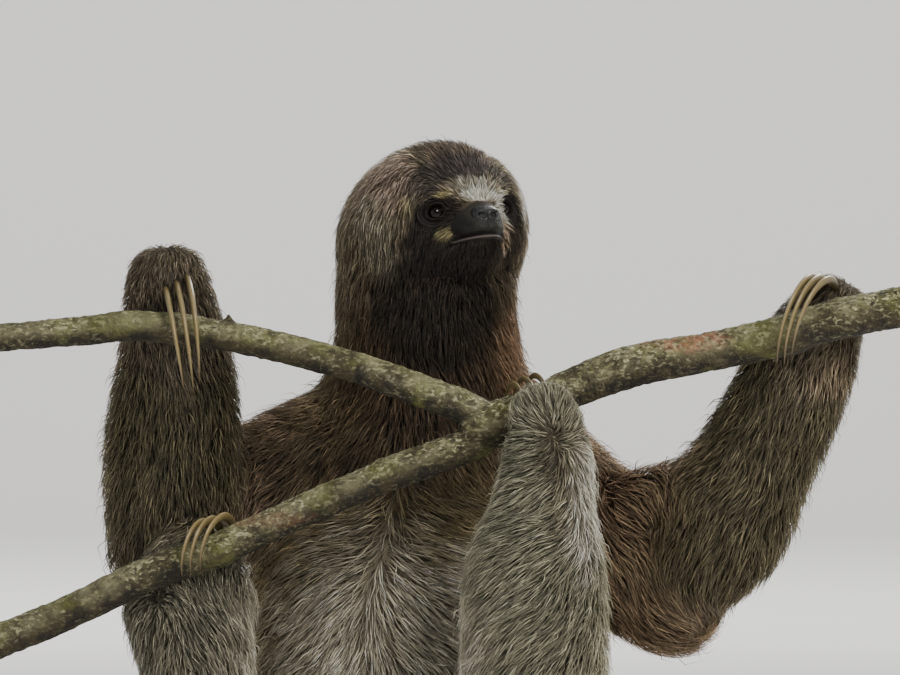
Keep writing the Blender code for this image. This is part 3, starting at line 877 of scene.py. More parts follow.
PARTS = (
    BodyPart("trunk", (
        (-.0336, -.002, .1180, .0620, .0580), (-.0340, .004, .1450, .0780, .0730),
        (-.0346, .012, .1950, .0870, .0820), (-.0345, .017, .2500, .0850, .0820),
        (-.0300, .015, .3050, .0815, .0770), (-.0205, .009, .3480, .0745, .0680),
        (-.0145, .003, .3780, .0650, .0610),
    ), Flow.BACK, Fur(0.0082, 0.0190, 0.00084, 0.00172), Tint((70, 61, 42), (170, 154, 116)),
        (0.5, 0.0, 0.5, 0.5)),
    BodyPart("neck", (
        (-.0160, .005, .3650, .0660, .0620), (-.0130, -.001, .3920, .0590, .0570),
        (-.0133, -.007, .4200, .0540, .0540), (-.0140, -.011, .4430, .0535, .0520),
        (-.0120, -.014, .4650, .0545, .0490),
    ), Flow.BACK, Fur(0.0062, 0.0150, 0.00068, 0.00140), Tint((44, 38, 29), (114, 99, 77)), cell(0, 0)),
    BodyPart("tail", (
        (-.0336, .038, .1220, .0200, .0200), (-.0336, .068, .1040, .0180, .0170),
        (-.0336, .088, .0940, .0140, .0130),
    ), Flow.ONWARD, Fur(0.0050, 0.015, 0.0010, 0.0020), Tint((62, 52, 40), (160, 142, 112)), cell(1, 0)),
    BodyPart("arm_right", (
        (-.0560, .002, .3580, .0400, .0400), (-.1080, -.017, .3345, .0380, .0370),
        (-.1470, -.036, .3120, .0350, .0330),
    ), Flow.ONWARD, LIMB_FUR, Tint((60, 48, 39), (142, 122, 101)), cell(2, 0)),
    BodyPart("forearm_right", (
        (-.1565, -.040, .3020, .0400, .0340), (-.1575, -.047, .3220, .0420, .0365),
        (-.1583, -.052, .3426, .0422, .0370), (-.1586, -.057, .3620, .0406, .0350),
        (-.1572, -.063, .3844, .0384, .0310), (-.1568, -.067, .4041, .0354, .0275),
        (-.1596, -.071, .4377, .0284, .0235), (-.1608, -.074, .4505, .0256, .0215),
        (-.1612, -.075, .4575, .0228, .0195),
    ), Flow.BACK, Fur(0.0068, 0.0145, 0.00080, 0.00162), DARK_ARM, cell(3, 0), 0.45),
    BodyPart("arm_left", (
        (.0250, .002, .3660, .0400, .0400), (.0430, 0, .3460, .0405, .0400),
        (.0760, -.010, .3120, .0430, .0400), (.1050, -.021, .2910, .0440, .0390),
        (.1290, -.032, .2700, .0370, .0350),
    ), Flow.ONWARD, LIMB_FUR, RUST_ARM, cell(4, 0)),
    BodyPart("forearm_left", (
        (.1450, -.041, .2950, .0365, .0340), (.1552, -.048, .3124, .0415, .0365),
        (.1640, -.053, .3300, .0398, .0350), (.1762, -.059, .3520, .0364, .0305),
        (.1893, -.066, .3780, .0352, .0270), (.1995, -.070, .4000, .0328, .0245),
        (.2092, -.073, .4220, .0278, .0215), (.2195, -.076, .4400, .0205, .0185),
    ), Flow.BACK, Fur(0.0068, 0.0140, 0.00080, 0.00162), DARK_ARM, cell(5, 0), 0.50),
    BodyPart("crease_left", (
        (.1060, -.036, .3205, .0240, .0270), (.1300, -.042, .3280, .0240, .0270),
    ), Flow.ONWARD, LIMB_FUR, RUST_ARM, cell(5, 1)),
    BodyPart("thigh_left", (
        (.0080, -.020, .1300, .0540, .0500), (.0290, -.062, .1680, .0490, .0460),
        (.0460, -.098, .2050, .0420, .0400),
    ), Flow.BACK, LIMB_FUR, Tint((92, 82, 68), (214, 205, 184)), cell(0, 1)),
    BodyPart("shank_left", (
        (.0476, -.108, .2092, .0430, .0390), (.0476, -.117, .2400, .0432, .0370),
        (.0478, -.124, .2760, .0422, .0335), (.0495, -.128, .3000, .0385, .0300),
        (.0525, -.132, .3250, .0310, .0250), (.0545, -.135, .3500, .0275, .0200),
        (.0540, -.136, .3680, .0235, .0165), (.0515, -.136, .3840, .0180, .0130),
    ), Flow.BACK, FINE_FUR, PALE_LEG, cell(1, 1), 0.60),
    BodyPart("thigh_right", (
        (-.0720, -.020, .1300, .0540, .0500), (-.1080, -.058, .1390, .0470, .0450),
        (-.1380, -.090, .1500, .0400, .0390),
    ), Flow.BACK, LIMB_FUR, GREY_LEG, cell(2, 1)),
    BodyPart("shank_right", (
        (-.1405, -.094, .1512, .0390, .0370), (-.1415, -.092, .1950, .0350, .0335),
        (-.1434, -.087, .2350, .0342, .0315), (-.1480, -.082, .2600, .0375, .0270),
        (-.1440, -.078, .2830, .0340, .0220), (-.1350, -.074, .3010, .0200, .0160),
    ), Flow.BACK, FINE_FUR, GREY_LEG, cell(3, 1), 0.70),
    BodyPart("heel_right", (
        (-.1560, -.084, .2520, .0210, .0200), (-.1730, -.084, .2650, .0160, .0160),
    ), Flow.ONWARD, Fur(0.0050, 0.0160, 0.00076, 0.0016), GREY_LEG, cell(4, 1)),
)


@dataclass(frozen=True)
class Survey:
    """What the body says of places on it: each part's hold, the coat's way and the unwrap."""

    hold: Array
    way: Array
    place: Array
    part: Array
    coat: Array


@dataclass(frozen=True)
class Body:
    """The whole animal: its parts, the head, the lie of the coat and its markings, among them painted shade
    and painted light.
    """

    head: Head = field(default_factory=Head)
    parts: tuple[BodyPart, ...] = PARTS
    softness: float = 0.008
    belly_parting: Pair = (-0.029, 0.328)
    leg_whorl: Pair = (0.0564, 0.3630)
    heel_whorl: Pair = (-0.1647, 0.2704)
    whorl_reach: float = 0.009
    whorl_back: float = -0.05
    tassel_reach: float = 0.014
    tassels: tuple[Triple, ...] = (
        (-.190, -.045, .300), (.130, -.035, .235), (-.1140, .005, .288), (-.1150, -.078, .284),
    )
    patches: tuple[Patch, ...] = (
        Patch((-.035, -.070, .370), (.085, .06, .045), Tint((46, 39, 29), (114, 98, 75))),
        Patch((-.038, -.075, .226), (.090, .08, .090), Tint((118, 108, 90), (238, 229, 206)), .9),
        Patch((-.012, -.060, .396), (.050, .10, .034), Tint((42, 34, 26), (98, 80, 61)), .85),
        Patch((-.008, -.060, .440), (.044, .10, .040), Tint((24, 20, 16), (62, 51, 41)), .95),
        Patch((.040, -.040, .405), (.014, .05, .040), Tint((70, 53, 41), (176, 142, 112)), .85),
        Patch((.066, -.020, .345), (.050, .06, .035), Tint((66, 50, 39), (170, 140, 112)), .7),
        # Painted shade: darkens the right forearm below the branch, where shadow falls.
        Patch((-.150, -.090, .378), (.050, .06, .045), Tint((28, 25, 18), (98, 90, 68)), .7),
        Patch((-.160, -.080, .435), (.040, .05, .045), Tint((50, 42, 35), (138, 126, 108)), .8),
        Patch((.215, -.080, .420), (.040, .05, .040), Tint((50, 42, 35), (140, 128, 108)), .8),
        Patch((.2150, -.095, .3970), (.014, .04, .015), Tint((66, 56, 43), (192, 172, 140)), .6),
        Patch((.1000, -.035, .3530), (.045, .06, .012), Tint((76, 60, 47), (214, 188, 156)), .6),
        Patch((.0565, -.155, .356), (.009, .03, .020), Tint((34, 29, 23), (128, 118, 98)), .75),
        Patch((.0630, -.155, .328), (.008, .03, .026), Tint((44, 38, 30), (170, 158, 132)), .55),
        Patch((.0765, -.150, .322), (.011, .05, .040), Tint((90, 78, 62), (255, 250, 230)), .95),
        Patch((-.030, .100, .300), (.040, .05, .075), Tint((48, 38, 29), (116, 98, 74)), .8),
        Patch((-.075, .080, .190), (.035, .05, .045), Tint((92, 82, 64), (190, 176, 146)), .6),
        Patch((.015, .085, .200), (.035, .05, .050), Tint((92, 82, 64), (190, 176, 146)), .6),
    )
    face: tuple[FacePatch, ...] = (
        FacePatch(0, 48, 34, 22, Tint((46, 39, 34), (122, 104, 88)), .7),
        FacePatch(-3, 26, 29, 11, Tint((36, 32, 31), (98, 88, 86)), .9),
        FacePatch(-30, 19, 15, 10, Tint((38, 34, 32), (98, 90, 84)), .85),
        FacePatch(24, 19, 12, 7, Tint((40, 36, 33), (102, 94, 86)), .85),
        FacePatch(0, -52, 66, 42, MASK),
        FacePatch(-30, -16, 20, 20, MASK), FacePatch(30, -16, 20, 20, MASK),
        FacePatch(-25, 0, 14, 10, MASK), FacePatch(28, 0, 11, 9, MASK),
        FacePatch(-58, 30, 24, 26, Tint((66, 54, 46), (190, 168, 152)), .6),
        FacePatch(-67, -4, 13, 28, Tint((52, 49, 39), (186, 180, 156)), .5),
        FacePatch(0, 12, 15, 4.6, Tint((84, 80, 70), (212, 208, 188)), .75),
        FacePatch(2, 6.5, 11.5, 4.4, WHITE),
        FacePatch(-20, 8.6, 5.2, 2.0, STRAW), FacePatch(20, 8.6, 5.2, 2.0, STRAW),
        FacePatch(-24, -14.5, 5.2, 4.2, STRAW, .9),
        FacePatch(19, -4, 5.6, 14, WHITE),
        # Painted light: the bright pale pink on the cheek's lit side, below the nose.
        FacePatch(22, -20, 4.0, 11, Tint((124, 98, 76), (230, 208, 180)), .85),
        FacePatch(-26, -1, 7.5, 8, MASK), FacePatch(29, -1, 6.0, 7, MASK),
        # The white streak behind the left eye is partly the coat's own pale stripe and partly painted light
        # on the lit side.
        FacePatch(45, 6, 4.2, 15, WHITE, .95), FacePatch(-43, 6, 4, 8, STRAW, .4),
        # Painted light: a pale rim along the head's left edge, where light falls from behind.
        FacePatch(62, 20, 6, 26, Tint((96, 82, 66), (236, 220, 196)), .6),
    )
    brow: Tint = Tint((60, 52, 43), (172, 159, 134))

    def survey(self, points: Array) -> Survey:
        """Reads places on the body.

        Each part holds a place with the strength e^(-distance outside / softness), and the
        way is the mix of the parts' ways.

        Args:
            points: rows of x, y, z on the skin.

        Returns:
            The survey, where the last part is the head.
        """
        reads = [part.read(points) for part in self.parts] + [self.head.read(points)]
        outside = np.stack([r.outside for r in reads], 1)
        hold = np.exp(-(outside - outside.min(1, keepdims=True)) / self.softness)
        hold /= hold.sum(1, keepdims=True)
        ways = np.stack([r.way for r in reads], 1)
        ways = self.styled(points, ways)
        way = unit(np.einsum("np,npk->nk", hold, ways))
        part = hold.argmax(1)
        place = np.stack([r.place for r in reads], 1)[np.arange(len(points)), part]
        coat = np.einsum("np,np->n", hold, np.stack([r.coat for r in reads], 1))
        return Survey(hold, way, place, part, coat)

    def styled(self, points: Array, ways: Array) -> Array:
        """The parts' ways with the belly's parting, the leg's whorl and the heel's whorl.

        The belly's coat fans down and aside from the parting. The pale leg's runs up to the
        toes above its whorl, and down and aside from its middle line below. The heel's
        leaves its whorl on all sides, and the left elbow's crease goes with the arm.

        Args:
            points: rows of x, y, z.
            ways: for each point, each part's way.

        Returns:
            The ways, with those parts' rows set.
        """
        names = [part.name for part in self.parts]
        x, z = points[:, 0], points[:, 2]
        x0, z0 = self.belly_parting
        fallen = np.maximum(z0 - z, 0.0)
        off = x - x0 + 0.31 * np.minimum(fallen, 0.05)
        spread = 0.005 + 0.25 * np.maximum(fallen - 0.04, 0.0)
        trunk = np.stack([
            0.10 * np.tanh(off / spread) + off, 0.15 * points[:, 1],
            -0.035 - 1.5 * np.maximum(fallen - 0.03, 0.0) - 0.16 * ramp(z, z0, z0 + 0.03)
        ], 1)
        ways[:, names.index("trunk")] = unit(trunk)
        x0, z0 = self.leg_whorl
        leg = names.index("shank_left")
        above = ramp(z + 0.006 * noise(points, 110, 6), z0 - 0.010, z0 + 0.012)[:, None]
        fallen = np.maximum(z0 - z, 0.0)
        aside = np.tanh((x - x0 - 0.40 * fallen) / 0.009)
        aside = aside * np.where(aside < 0, 2.6 - 1.6 * ramp(fallen, 0.02, 0.07), 0.6)
        down = unit(np.stack([aside, 0.10 + 0 * x, -np.ones_like(x)], 1))
        up = unit(np.stack([0.8 * np.tanh((x - x0) / 0.012), 0 * x, np.ones_like(x)], 1))
        ways[:, leg] = unit(down * (1 - above) + up * above)
        x0, z0 = self.heel_whorl
        near = bump(np.hypot(x - x0, z - z0) / 0.030)[:, None]
        radial = unit(np.stack([x - x0, 0 * x, z - z0], 1))
        ways[:, names.index("heel_right")] = unit(radial * near + np.array([-0.2, 0.0, -0.9]))
        ways[:, names.index("crease_left")] = ways[:, names.index("arm_left")]
        shank = names.index("shank_right")
        ways[:, shank] = unit(ways[:, shank] + 1.1 * radial * near)
        return ways

    def fur(self, points: Array, survey: Survey) -> Array:
        """Rows of the coat's depth, length, breadth and pitch, mixed by the parts' hold.

        At the whorls the tufts are short and close, and at the tassels long and high.

        Args:
            points: rows of x, y, z.
            survey: what the body says of them.

        Returns:
            Four numbers for each point.
        """
        turn, rise = self.head.seen(points)
        long = self.head.furred(turn, rise)
        rows = np.array([part.fur.row() for part in self.parts])
        face, crown = self.head.face_fur.row(), self.head.crown_fur.row()
        on_head = face + (crown - face) * long[:, None]
        mixed = survey.hold[:, :-1] @ rows + survey.hold[:, -1:] * on_head
        shorter = np.stack([survey.coat, 0.35 + 0.65 * survey.coat, *[0.6 + 0.4 * survey.coat] * 2], 1)
        mixed = mixed * shorter
        for x, z in (self.leg_whorl, self.heel_whorl):
            near = bump((points[:, 0] - x) / self.whorl_reach, (points[:, 2] - z) / self.whorl_reach)
            near = near * (points[:, 1] < self.whorl_back)
            mixed[:, 1] *= 1 - 0.5 * near
            mixed[:, 3] *= 1 - 0.35 * near
        for tassel in self.tassels:
            near = bump(np.linalg.norm(points - np.array(tassel), axis=1) / self.tassel_reach)
            mixed[:, 0] *= 1 + 1.2 * near
            mixed[:, 1] *= 1 + 0.8 * near
        return mixed

    def tints(self, points: Array, survey: Survey) -> tuple[Array, Array]:
        """The coat's colour at root and tip, as light.

        The parts' own tints are mixed by their hold, then each marking, painted shade and painted light
        among them, covers them in turn.

        Args:
            points: rows of x, y, z.
            survey: what the body says of them.

        Returns:
            Rows of root and of tip colours.
        """
        tips = [p.tint for p in self.parts] + [self.brow]
        root = survey.hold @ np.array([linear(t.root) for t in tips])
        tip = survey.hold @ np.array([linear(t.tip) for t in tips])
        on_head = survey.hold[:, -1]
        for patch in self.patches:
            root, tip = patch.tint.over(root, tip, patch.share(points))
        turn, rise = self.head.seen(points)
        for patch in self.face:
            share = patch.share(turn, rise, points) * np.clip(on_head * 1.3, 0, 1)
            root, tip = patch.tint.over(root, tip, share)
        return root, tip


class Probe:
    """Finds the nearest place on a surface, and the way it faces, for many points at once."""

    def __init__(self, surface: Piece) -> None:
        """Wires a small node tree that stores the two answers on the points it is given.

        Args:
            surface: the object that is asked about.
        """
        tree = bpy.data.node_groups.new("nearest_place", "GeometryNodeTree")
        for way in ("INPUT", "OUTPUT"):
            tree.interface.new_socket("Geometry", in_out=way, socket_type="NodeSocketGeometry")
        wires = Wiring(tree)
        last = wires.add("NodeGroupInput").outputs[0]
        shape = wires.add("GeometryNodeObjectInfo", {"Object": surface}).outputs["Geometry"]
        for name, kind in (("place", "GeometryNodeInputPosition"), ("facing", "GeometryNodeInputNormal")):
            near = wires.add("GeometryNodeSampleNearestSurface", {
                "Mesh": shape, "Value": wires.add(kind).outputs[0],
            }, data_type="FLOAT_VECTOR")
            last = wires.add("GeometryNodeStoreNamedAttribute", {
                "Name": name, "Geometry": last, "Value": near.outputs["Value"],
            }, data_type="FLOAT_VECTOR").outputs["Geometry"]
        wires.add("NodeGroupOutput", {0: last})
        self.tree = tree

    def ask(self, points: Array) -> tuple[Array, Array]:
        """The nearest places on the surface and the ways it faces there.

        Args:
            points: rows of x, y, z.

        Returns:
            Two arrays with a row for each point.
        """
        obj = solid("asked", points, np.zeros((0, 3), int))
        obj.modifiers.new("nearest", "NODES").node_group = self.tree
        bpy.context.view_layer.update()
        mesh = obj.evaluated_get(bpy.context.evaluated_depsgraph_get()).data
        place, facing = (rows_of(mesh.attributes[name].data, "vector") for name in ("place", "facing"))
        data = obj.data
        bpy.data.objects.remove(obj)
        bpy.data.meshes.remove(data)
        return place, unit(facing)

    def done(self) -> None:
        """Takes the node tree away."""
        bpy.data.node_groups.remove(self.tree)


@dataclass(frozen=True)
class Skin:
    """The one skin under the coat, fine on the face."""

    body: Body
    voxel: float = 0.0034
    rounds: int = 5
    under_share: float = 0.16
    face_rise: float = -6.0
    leather: Colour = (31, 33, 32)
    dark_leather: Colour = (18, 17, 17)
    lip: Colour = (118, 108, 102)
    mouth_line: Colour = (10, 8, 8)
    lid: Colour = (22, 18, 17)

    def build(self) -> Piece:
        """Joins the bare parts, makes them one skin and sculpts the face.

        Returns:
            The skin, painted.
        """
        pieces = [part.bare() for part in self.body.parts] + [self.body.head.bare()]
        skin = fused(outward(solid("skin", *joined(pieces))), self.voxel, self.rounds)
        self.refine(skin)
        points = self.sculpted(rows_of(skin.data.vertices, "co"))
        moved(skin, points)
        self.colour(skin, points)
        return skin

    def refine(self, skin: Piece) -> None:
        """Divides the mesh of the face twice, and that of the eyes and the mouth once more.

        Args:
            skin: the skin object.
        """
        head = self.body.head
        for level in range(3):
            mesh = skin.data
            own = head.own(rows_of(mesh.polygons, "center"))
            turn, rise, far = head.angles(own)
            chosen = np.abs(far - head.smooth_skin(turn, rise)) < 0.006
            if level < 2:
                edge = math.cos(math.radians(58 - 8 * level))
                chosen &= unit(own) @ head.towards(0.0, self.face_rise) > edge
            else:
                lips = (np.abs(rise - head.mouth(turn)) < 5.5) & (np.abs(turn) < 26)
                chosen &= (head.eye_oval(turn, rise) < 2.3) | lips
            shape = bmesh.new()
            shape.from_mesh(mesh)
            shape.faces.ensure_lookup_table()
            edges = {side for i in np.flatnonzero(chosen) for side in shape.faces[i].edges}
            bmesh.ops.subdivide_edges(shape, edges=list(edges), cuts=1, use_grid_fill=True)
            bmesh.ops.triangulate(shape, faces=[f for f in shape.faces if len(f.verts) > 4])
            shape.to_mesh(mesh)
            shape.free()

    def sculpted(self, points: Array) -> Array:
        """Sets the face's points at the head's own distance, fading out towards crown and neck.

        Args:
            points: rows of x, y, z.

        Returns:
            The points in their new places.
        """
        head = self.body.head
        own = head.own(points)
        turn, rise, far = head.angles(own)
        angle = np.degrees(np.arccos(np.clip(unit(own) @ head.towards(0.0, self.face_rise), -1, 1)))
        off = np.abs(far - head.smooth_skin(turn, rise))
        hold = (1 - ramp(angle, 56, 74)) * (1 - ramp(off, 0.004, 0.008))
        reach = far + (head.skin(turn, rise) - far) * hold
        return head.world(unit(own) * reach[:, None])

    def colour(self, skin: Piece, points: Array) -> None:
        """Paints the coat's markings on the skin, with their painted shade and light, and the leather of
        muzzle, lids and lips, with painted shade in the mouth's groove.

        Args:
            skin: the skin object.
            points: its points.
        """
        head = self.body.head
        survey = self.body.survey(points)
        root, tip = self.body.tints(points, survey)
        shade = blend(root, tip, np.full(len(points), self.under_share))
        turn, rise = head.seen(points)
        bare = head.naked(turn, rise) * survey.hold[:, -1]
        line = rise - head.mouth(turn)
        span = 1 - ramp(np.abs(turn), 19.0, 23.0)
        leather = washed(
            self.leather, len(points),
            (self.dark_leather, ramp(layered(points, 240, 3), -0.6, 0.8)),
            (self.lip, 0.75 * bump((line + 1.05) / 0.42) * span),
            # Painted shade: a near-black line in the mouth's groove between the lips.
            (self.mouth_line, bump(line / 0.55) * span),
            (self.lid, head.lids(turn, rise)),
        )
        shade = blend(shade, leather, bare)
        paint(skin, "coat_colour", np.column_stack([shade, bare]))


@dataclass(frozen=True)
class Coat:
    """Tufts over the skin: tapered three-sided locks that bend along the body."""

    body: Body
    tufts: int = 145_000
    per_piece: int = 19_500
    rings: int = 2
    seed: int = 20
    stray_share: float = 0.07
    stray_lift: float = 1.75
    light_share: float = 0.26
    lock_size: float = 0.34
    lock_pull: float = 0.42
    flatness: float = 0.62
    root_depth: float = 0.0006
    unwrap_size: float = 0.003

    def grow(self, skin: Piece) -> list[Piece]:
        """Roots tufts in the skin and builds the coat's pieces.

        Args:
            skin: the skin object.

        Returns:
            The pieces, each under 200,000 triangles.
        """
        random = np.random.default_rng(self.seed)
        roots, normals = self.roots(skin, random)
        survey = self.body.survey(roots)
        fur = self.body.fur(roots, survey)
        order = np.argsort(survey.part, kind="stable")
        roots, normals, fur = roots[order], normals[order], fur[order]
        survey = Survey(*(getattr(survey, each.name)[order] for each in fields(survey)))
        probe = Probe(skin)
        line, facing = self.lines(probe, roots, normals, survey, fur, random)
        probe.done()
        colours = self.colours(roots, self.body.tints(line[:, 1], survey), survey.hold[:, -1], random)
        return [
            self.piece(f"coat_{number + 1}", line[span], facing[span], fur[span, 2],
                       colours[span], survey.place[span], random)
            for number, span in enumerate(
                slice(start, start + self.per_piece) for start in range(0, len(roots), self.per_piece)
            )
        ]

    def roots(self, skin: Piece, random: Random) -> tuple[Array, Array]:
        """Places for the roots, spread evenly over the skin with the coat's own pitch.

        Each triangle takes its area over the pitch squared, and the running total is cut
        at equal steps with a random shift.

        Args:
            skin: the skin object.
            random: the source of scatter.

        Returns:
            The roots, and the way the skin faces at each of them.
        """
        mesh = skin.data
        mesh.calc_loop_triangles()
        corners = np.empty(len(mesh.loop_triangles) * 3, np.int32)
        mesh.loop_triangles.foreach_get("vertices", corners)
        tri = rows_of(mesh.vertices, "co")[corners.reshape(-1, 3)]
        cross = np.cross(tri[:, 1] - tri[:, 0], tri[:, 2] - tri[:, 0])
        area = 0.5 * np.linalg.norm(cross, axis=1)
        middle = tri.mean(1)
        survey = self.body.survey(middle)
        fur = self.body.fur(middle, survey)
        turn, rise = self.body.head.seen(middle)
        bare = self.body.head.naked(turn, rise) * (survey.hold[:, -1] > 0.5)
        share = area / fur[:, 3] ** 2 * (bare < 0.45)
        log.info("tufts wanted: %d", int(share.sum()))
        share *= min(1.0, self.tufts / float(share.sum()))
        total = np.cumsum(share)
        count = int(total[-1])
        chosen = np.searchsorted(total, (np.arange(count) + random.random(count)) * total[-1] / count)
        chosen = np.minimum(chosen, len(tri) - 1)
        a, b = np.sqrt(random.random(count)), random.random(count)
        weights = np.stack([1 - a, a * (1 - b), a * b], 1)
        return np.einsum("nk,nkx->nx", weights, tri[chosen]), unit(cross[chosen])

    def lines(self, probe: Probe, roots: Array, normals: Array, survey: Survey, fur: Array,
              random: Random) -> tuple[Array, Array]:
        """Walks each tuft over the skin from its root and lifts it off.

        A tuft takes equal steps along the skin, keeping its way in the skin's plane. Its
        height at a share s of its length is its own top height times 1 - (1 - s)^1.7, its
        middle bows aside by 4s(1 - s) of its own bow. Long tufts sink a little towards their
        tips, and all bend by s^1.6 of a part of the way to the mean line of their lock.

        Args:
            probe: finds the skin.
            roots, normals, survey, fur: what is known at each root.
            random: the source of scatter.

        Returns:
            The tufts' points, and the way the skin faces at each of them.
        """
        count, rings = len(roots), self.rings
        way, on_head = survey.way, survey.hold[:, -1]
        length = fur[:, 1] * np.clip(random.normal(1.0, 0.20, count), 0.45, 1.6)
        stray = random.random(count) < self.stray_share * (1 - on_head)
        top = fur[:, 0] * (0.40 + 0.82 * random.random(count) ** 0.8)
        top = top * np.where(stray, self.stray_lift, 1.0)
        arc = random.normal(0, 0.055, count) * length * (1 - 0.5 * on_head)
        side = np.cross(normals, across(way, normals))
        swing = np.tan(np.radians(
            (17 * noise(roots, 60, 2) + 11 * noise(roots, 190, 4)) * (1 - 0.45 * on_head)
            + random.normal(0, 8.0, count) * np.where(stray, 3.0, 1.0)
        ))
        ways = across(across(way, normals) + side * np.clip(swing, -1.5, 1.5)[:, None], normals)
        place, facing = roots, normals
        lines, faces = [roots - normals * self.root_depth], [normals]
        for step in range(1, rings + 1):
            place, facing = probe.ask(place + ways * (length / rings)[:, None])
            ways = across(ways, facing)
            share = step / rings
            height = top * (1 - (1 - share) ** 1.7) + 0.0004
            sag = 0.05 * length * share**2 * (1 - on_head)
            bow = 4 * share * (1 - share) * arc
            lines.append(place + facing * height[:, None] - np.array([0, 0, 1.0]) * sag[:, None]
                         + np.cross(facing, ways) * bow[:, None])
            faces.append(facing)
        lines = np.stack(lines, 1)
        lock = self.lock_middles(roots, lines, length)
        pull = self.lock_pull * (np.arange(rings + 1) / rings) ** 1.6
        return lines + (lock - lines) * pull[None, :, None], np.stack(faces, 1)

    def lock_middles(self, roots: Array, lines: Array, length: Array) -> Array:
        """The mean line of the lock that each tuft belongs to.

        Tufts share a lock when their roots, shaken by noise, fall in the same cell of a
        lattice whose cells are about a third of a tuft's length.

        Args:
            roots: the tufts' roots.
            lines: the tufts' points.
            length: the tufts' lengths.

        Returns:
            A line for each tuft, in the shape of lines.
        """
        shaken = roots + 0.0025 * np.stack([noise(roots, 180, k) for k in (21, 22, 23)], 1)
        lattice = np.floor(shaken / (self.lock_size * float(np.median(length)))).astype(np.int64)
        _, member = np.unique(lattice @ np.array([1, 4096, 16777216]), return_inverse=True)
        members = np.bincount(member).astype(float)
        flat = lines.reshape(len(lines), -1)
        means = np.stack([np.bincount(member, flat[:, k]) / members for k in range(flat.shape[1])], 1)
        return means[member].reshape(lines.shape)

    def colours(self, roots: Array, tints: tuple[Array, Array], on_head: Array, random: Random) -> Array:
        """Colours at a tuft's rings and tip: from root to tip, lighter or darker by lock; the darker root
        is partly painted shade.

        Args:
            roots: the tufts' roots.
            tints: the colour at each root and at each tip.
            on_head: how far the head holds each tuft.
            random: the source of scatter.

        Returns:
            A colour for each of a tuft's points, whose fourth number is the share along.
        """
        count, rings = len(roots), self.rings
        lock = 1 + 0.22 * noise(roots, 95, 11) + 0.26 * layered(roots, 320, 12)
        strand = np.exp(random.normal(0.0, 0.31, count))
        light = random.random(count) < self.light_share
        strength = lock * strand * np.where(light, 1.62 + 0.45 * on_head, 0.78 - 0.14 * on_head)
        # Root to tip: the dark root is partly the hair's own colour and partly painted shade deep in the
        # coat.
        share = (np.arange(rings + 1) / rings) ** 0.9
        mixed = tints[0][:, None] * (1 - share)[None, :, None] + tints[1][:, None] * share[None, :, None]
        mixed = mixed * strength[:, None, None]
        rows = np.ones((count, rings + 1, 4))
        rows[:, :, :3] = np.clip(mixed, 0.0, 0.95)
        rows[:, :, 3] = share
        return rows

    def piece(self, name: str, line: Array, facing: Array, breadth: Array, colours: Array,
              place: Array, random: Random) -> Piece:
        """Builds tufts as one mesh.

        A ring at a share s along has three points round the tuft's line, at half the breadth
        times 1 - 0.92s^1.6 and flattened towards the skin, and the last point is the tip.

        Args:
            name: the piece's name.
            line, facing: the tufts' points and the way the skin faces there.
            breadth: the tufts' breadths.
            colours: a colour for each of a tuft's points.
            place: the roots' places on the unwrap.
            random: the source of scatter.

        Returns:
            The piece, with its colours and its unwrap.
        """
        count, levels = line.shape[:2]
        rings = levels - 1
        along = unit(np.gradient(line, axis=1))
        aside = unit(np.cross(facing, along))
        lift = np.cross(along, aside)
        share = np.arange(rings) / rings
        stout = 0.8 + 0.4 * random.random(count)
        width = breadth[:, None] * 0.5 * (1 - share[None] ** 1.6 * 0.92) * stout[:, None]
        turn = np.radians([90.0, 210.0, 330.0])[None, None, :, None]
        body = (
            line[:, :rings, None]
            + np.cos(turn) * (aside[:, :rings] * width[..., None])[:, :, None]
            + self.flatness * np.sin(turn) * (lift[:, :rings] * width[..., None])[:, :, None]
        ).reshape(count, rings * 3, 3)
        points = np.concatenate([body, line[:, rings:]], 1)
        walls = [
            (3 * r + i, 3 * r + j, 3 * r + 3 + j) if half else (3 * r + i, 3 * r + 3 + j, 3 * r + 3 + i)
            for r in range(rings - 1) for i, j in ((0, 1), (1, 2), (2, 0)) for half in (True, False)
        ]
        low, tip = 3 * (rings - 1), 3 * rings
        caps = [(low, low + 1, tip), (low + 1, low + 2, tip), (low + 2, low, tip), (2, 1, 0)]
        pattern = np.array(walls + caps)
        each = 3 * rings + 1
        faces = (pattern[None] + (np.arange(count) * each)[:, None, None]).reshape(-1, 3)
        obj = solid(name, points.reshape(-1, 3), faces)
        level = np.append(np.repeat(np.arange(rings), 3), rings)
        paint(obj, "coat_colour", colours[:, level].reshape(-1, 4))
        spot = np.stack([np.append(np.tile([-0.5, 0.0, 0.5], rings), 0.0), level / rings - 0.5], 1)
        spot = spot * self.unwrap_size
        unwrap = (place[:, None] + spot[None]).reshape(-1, 2)
        layer = obj.data.uv_layers.new(name="OFBake")
        layer.data.foreach_set("uv", unwrap[faces.ravel()].astype(np.float32).ravel())
        return obj


# ---- eyes, nose and claws


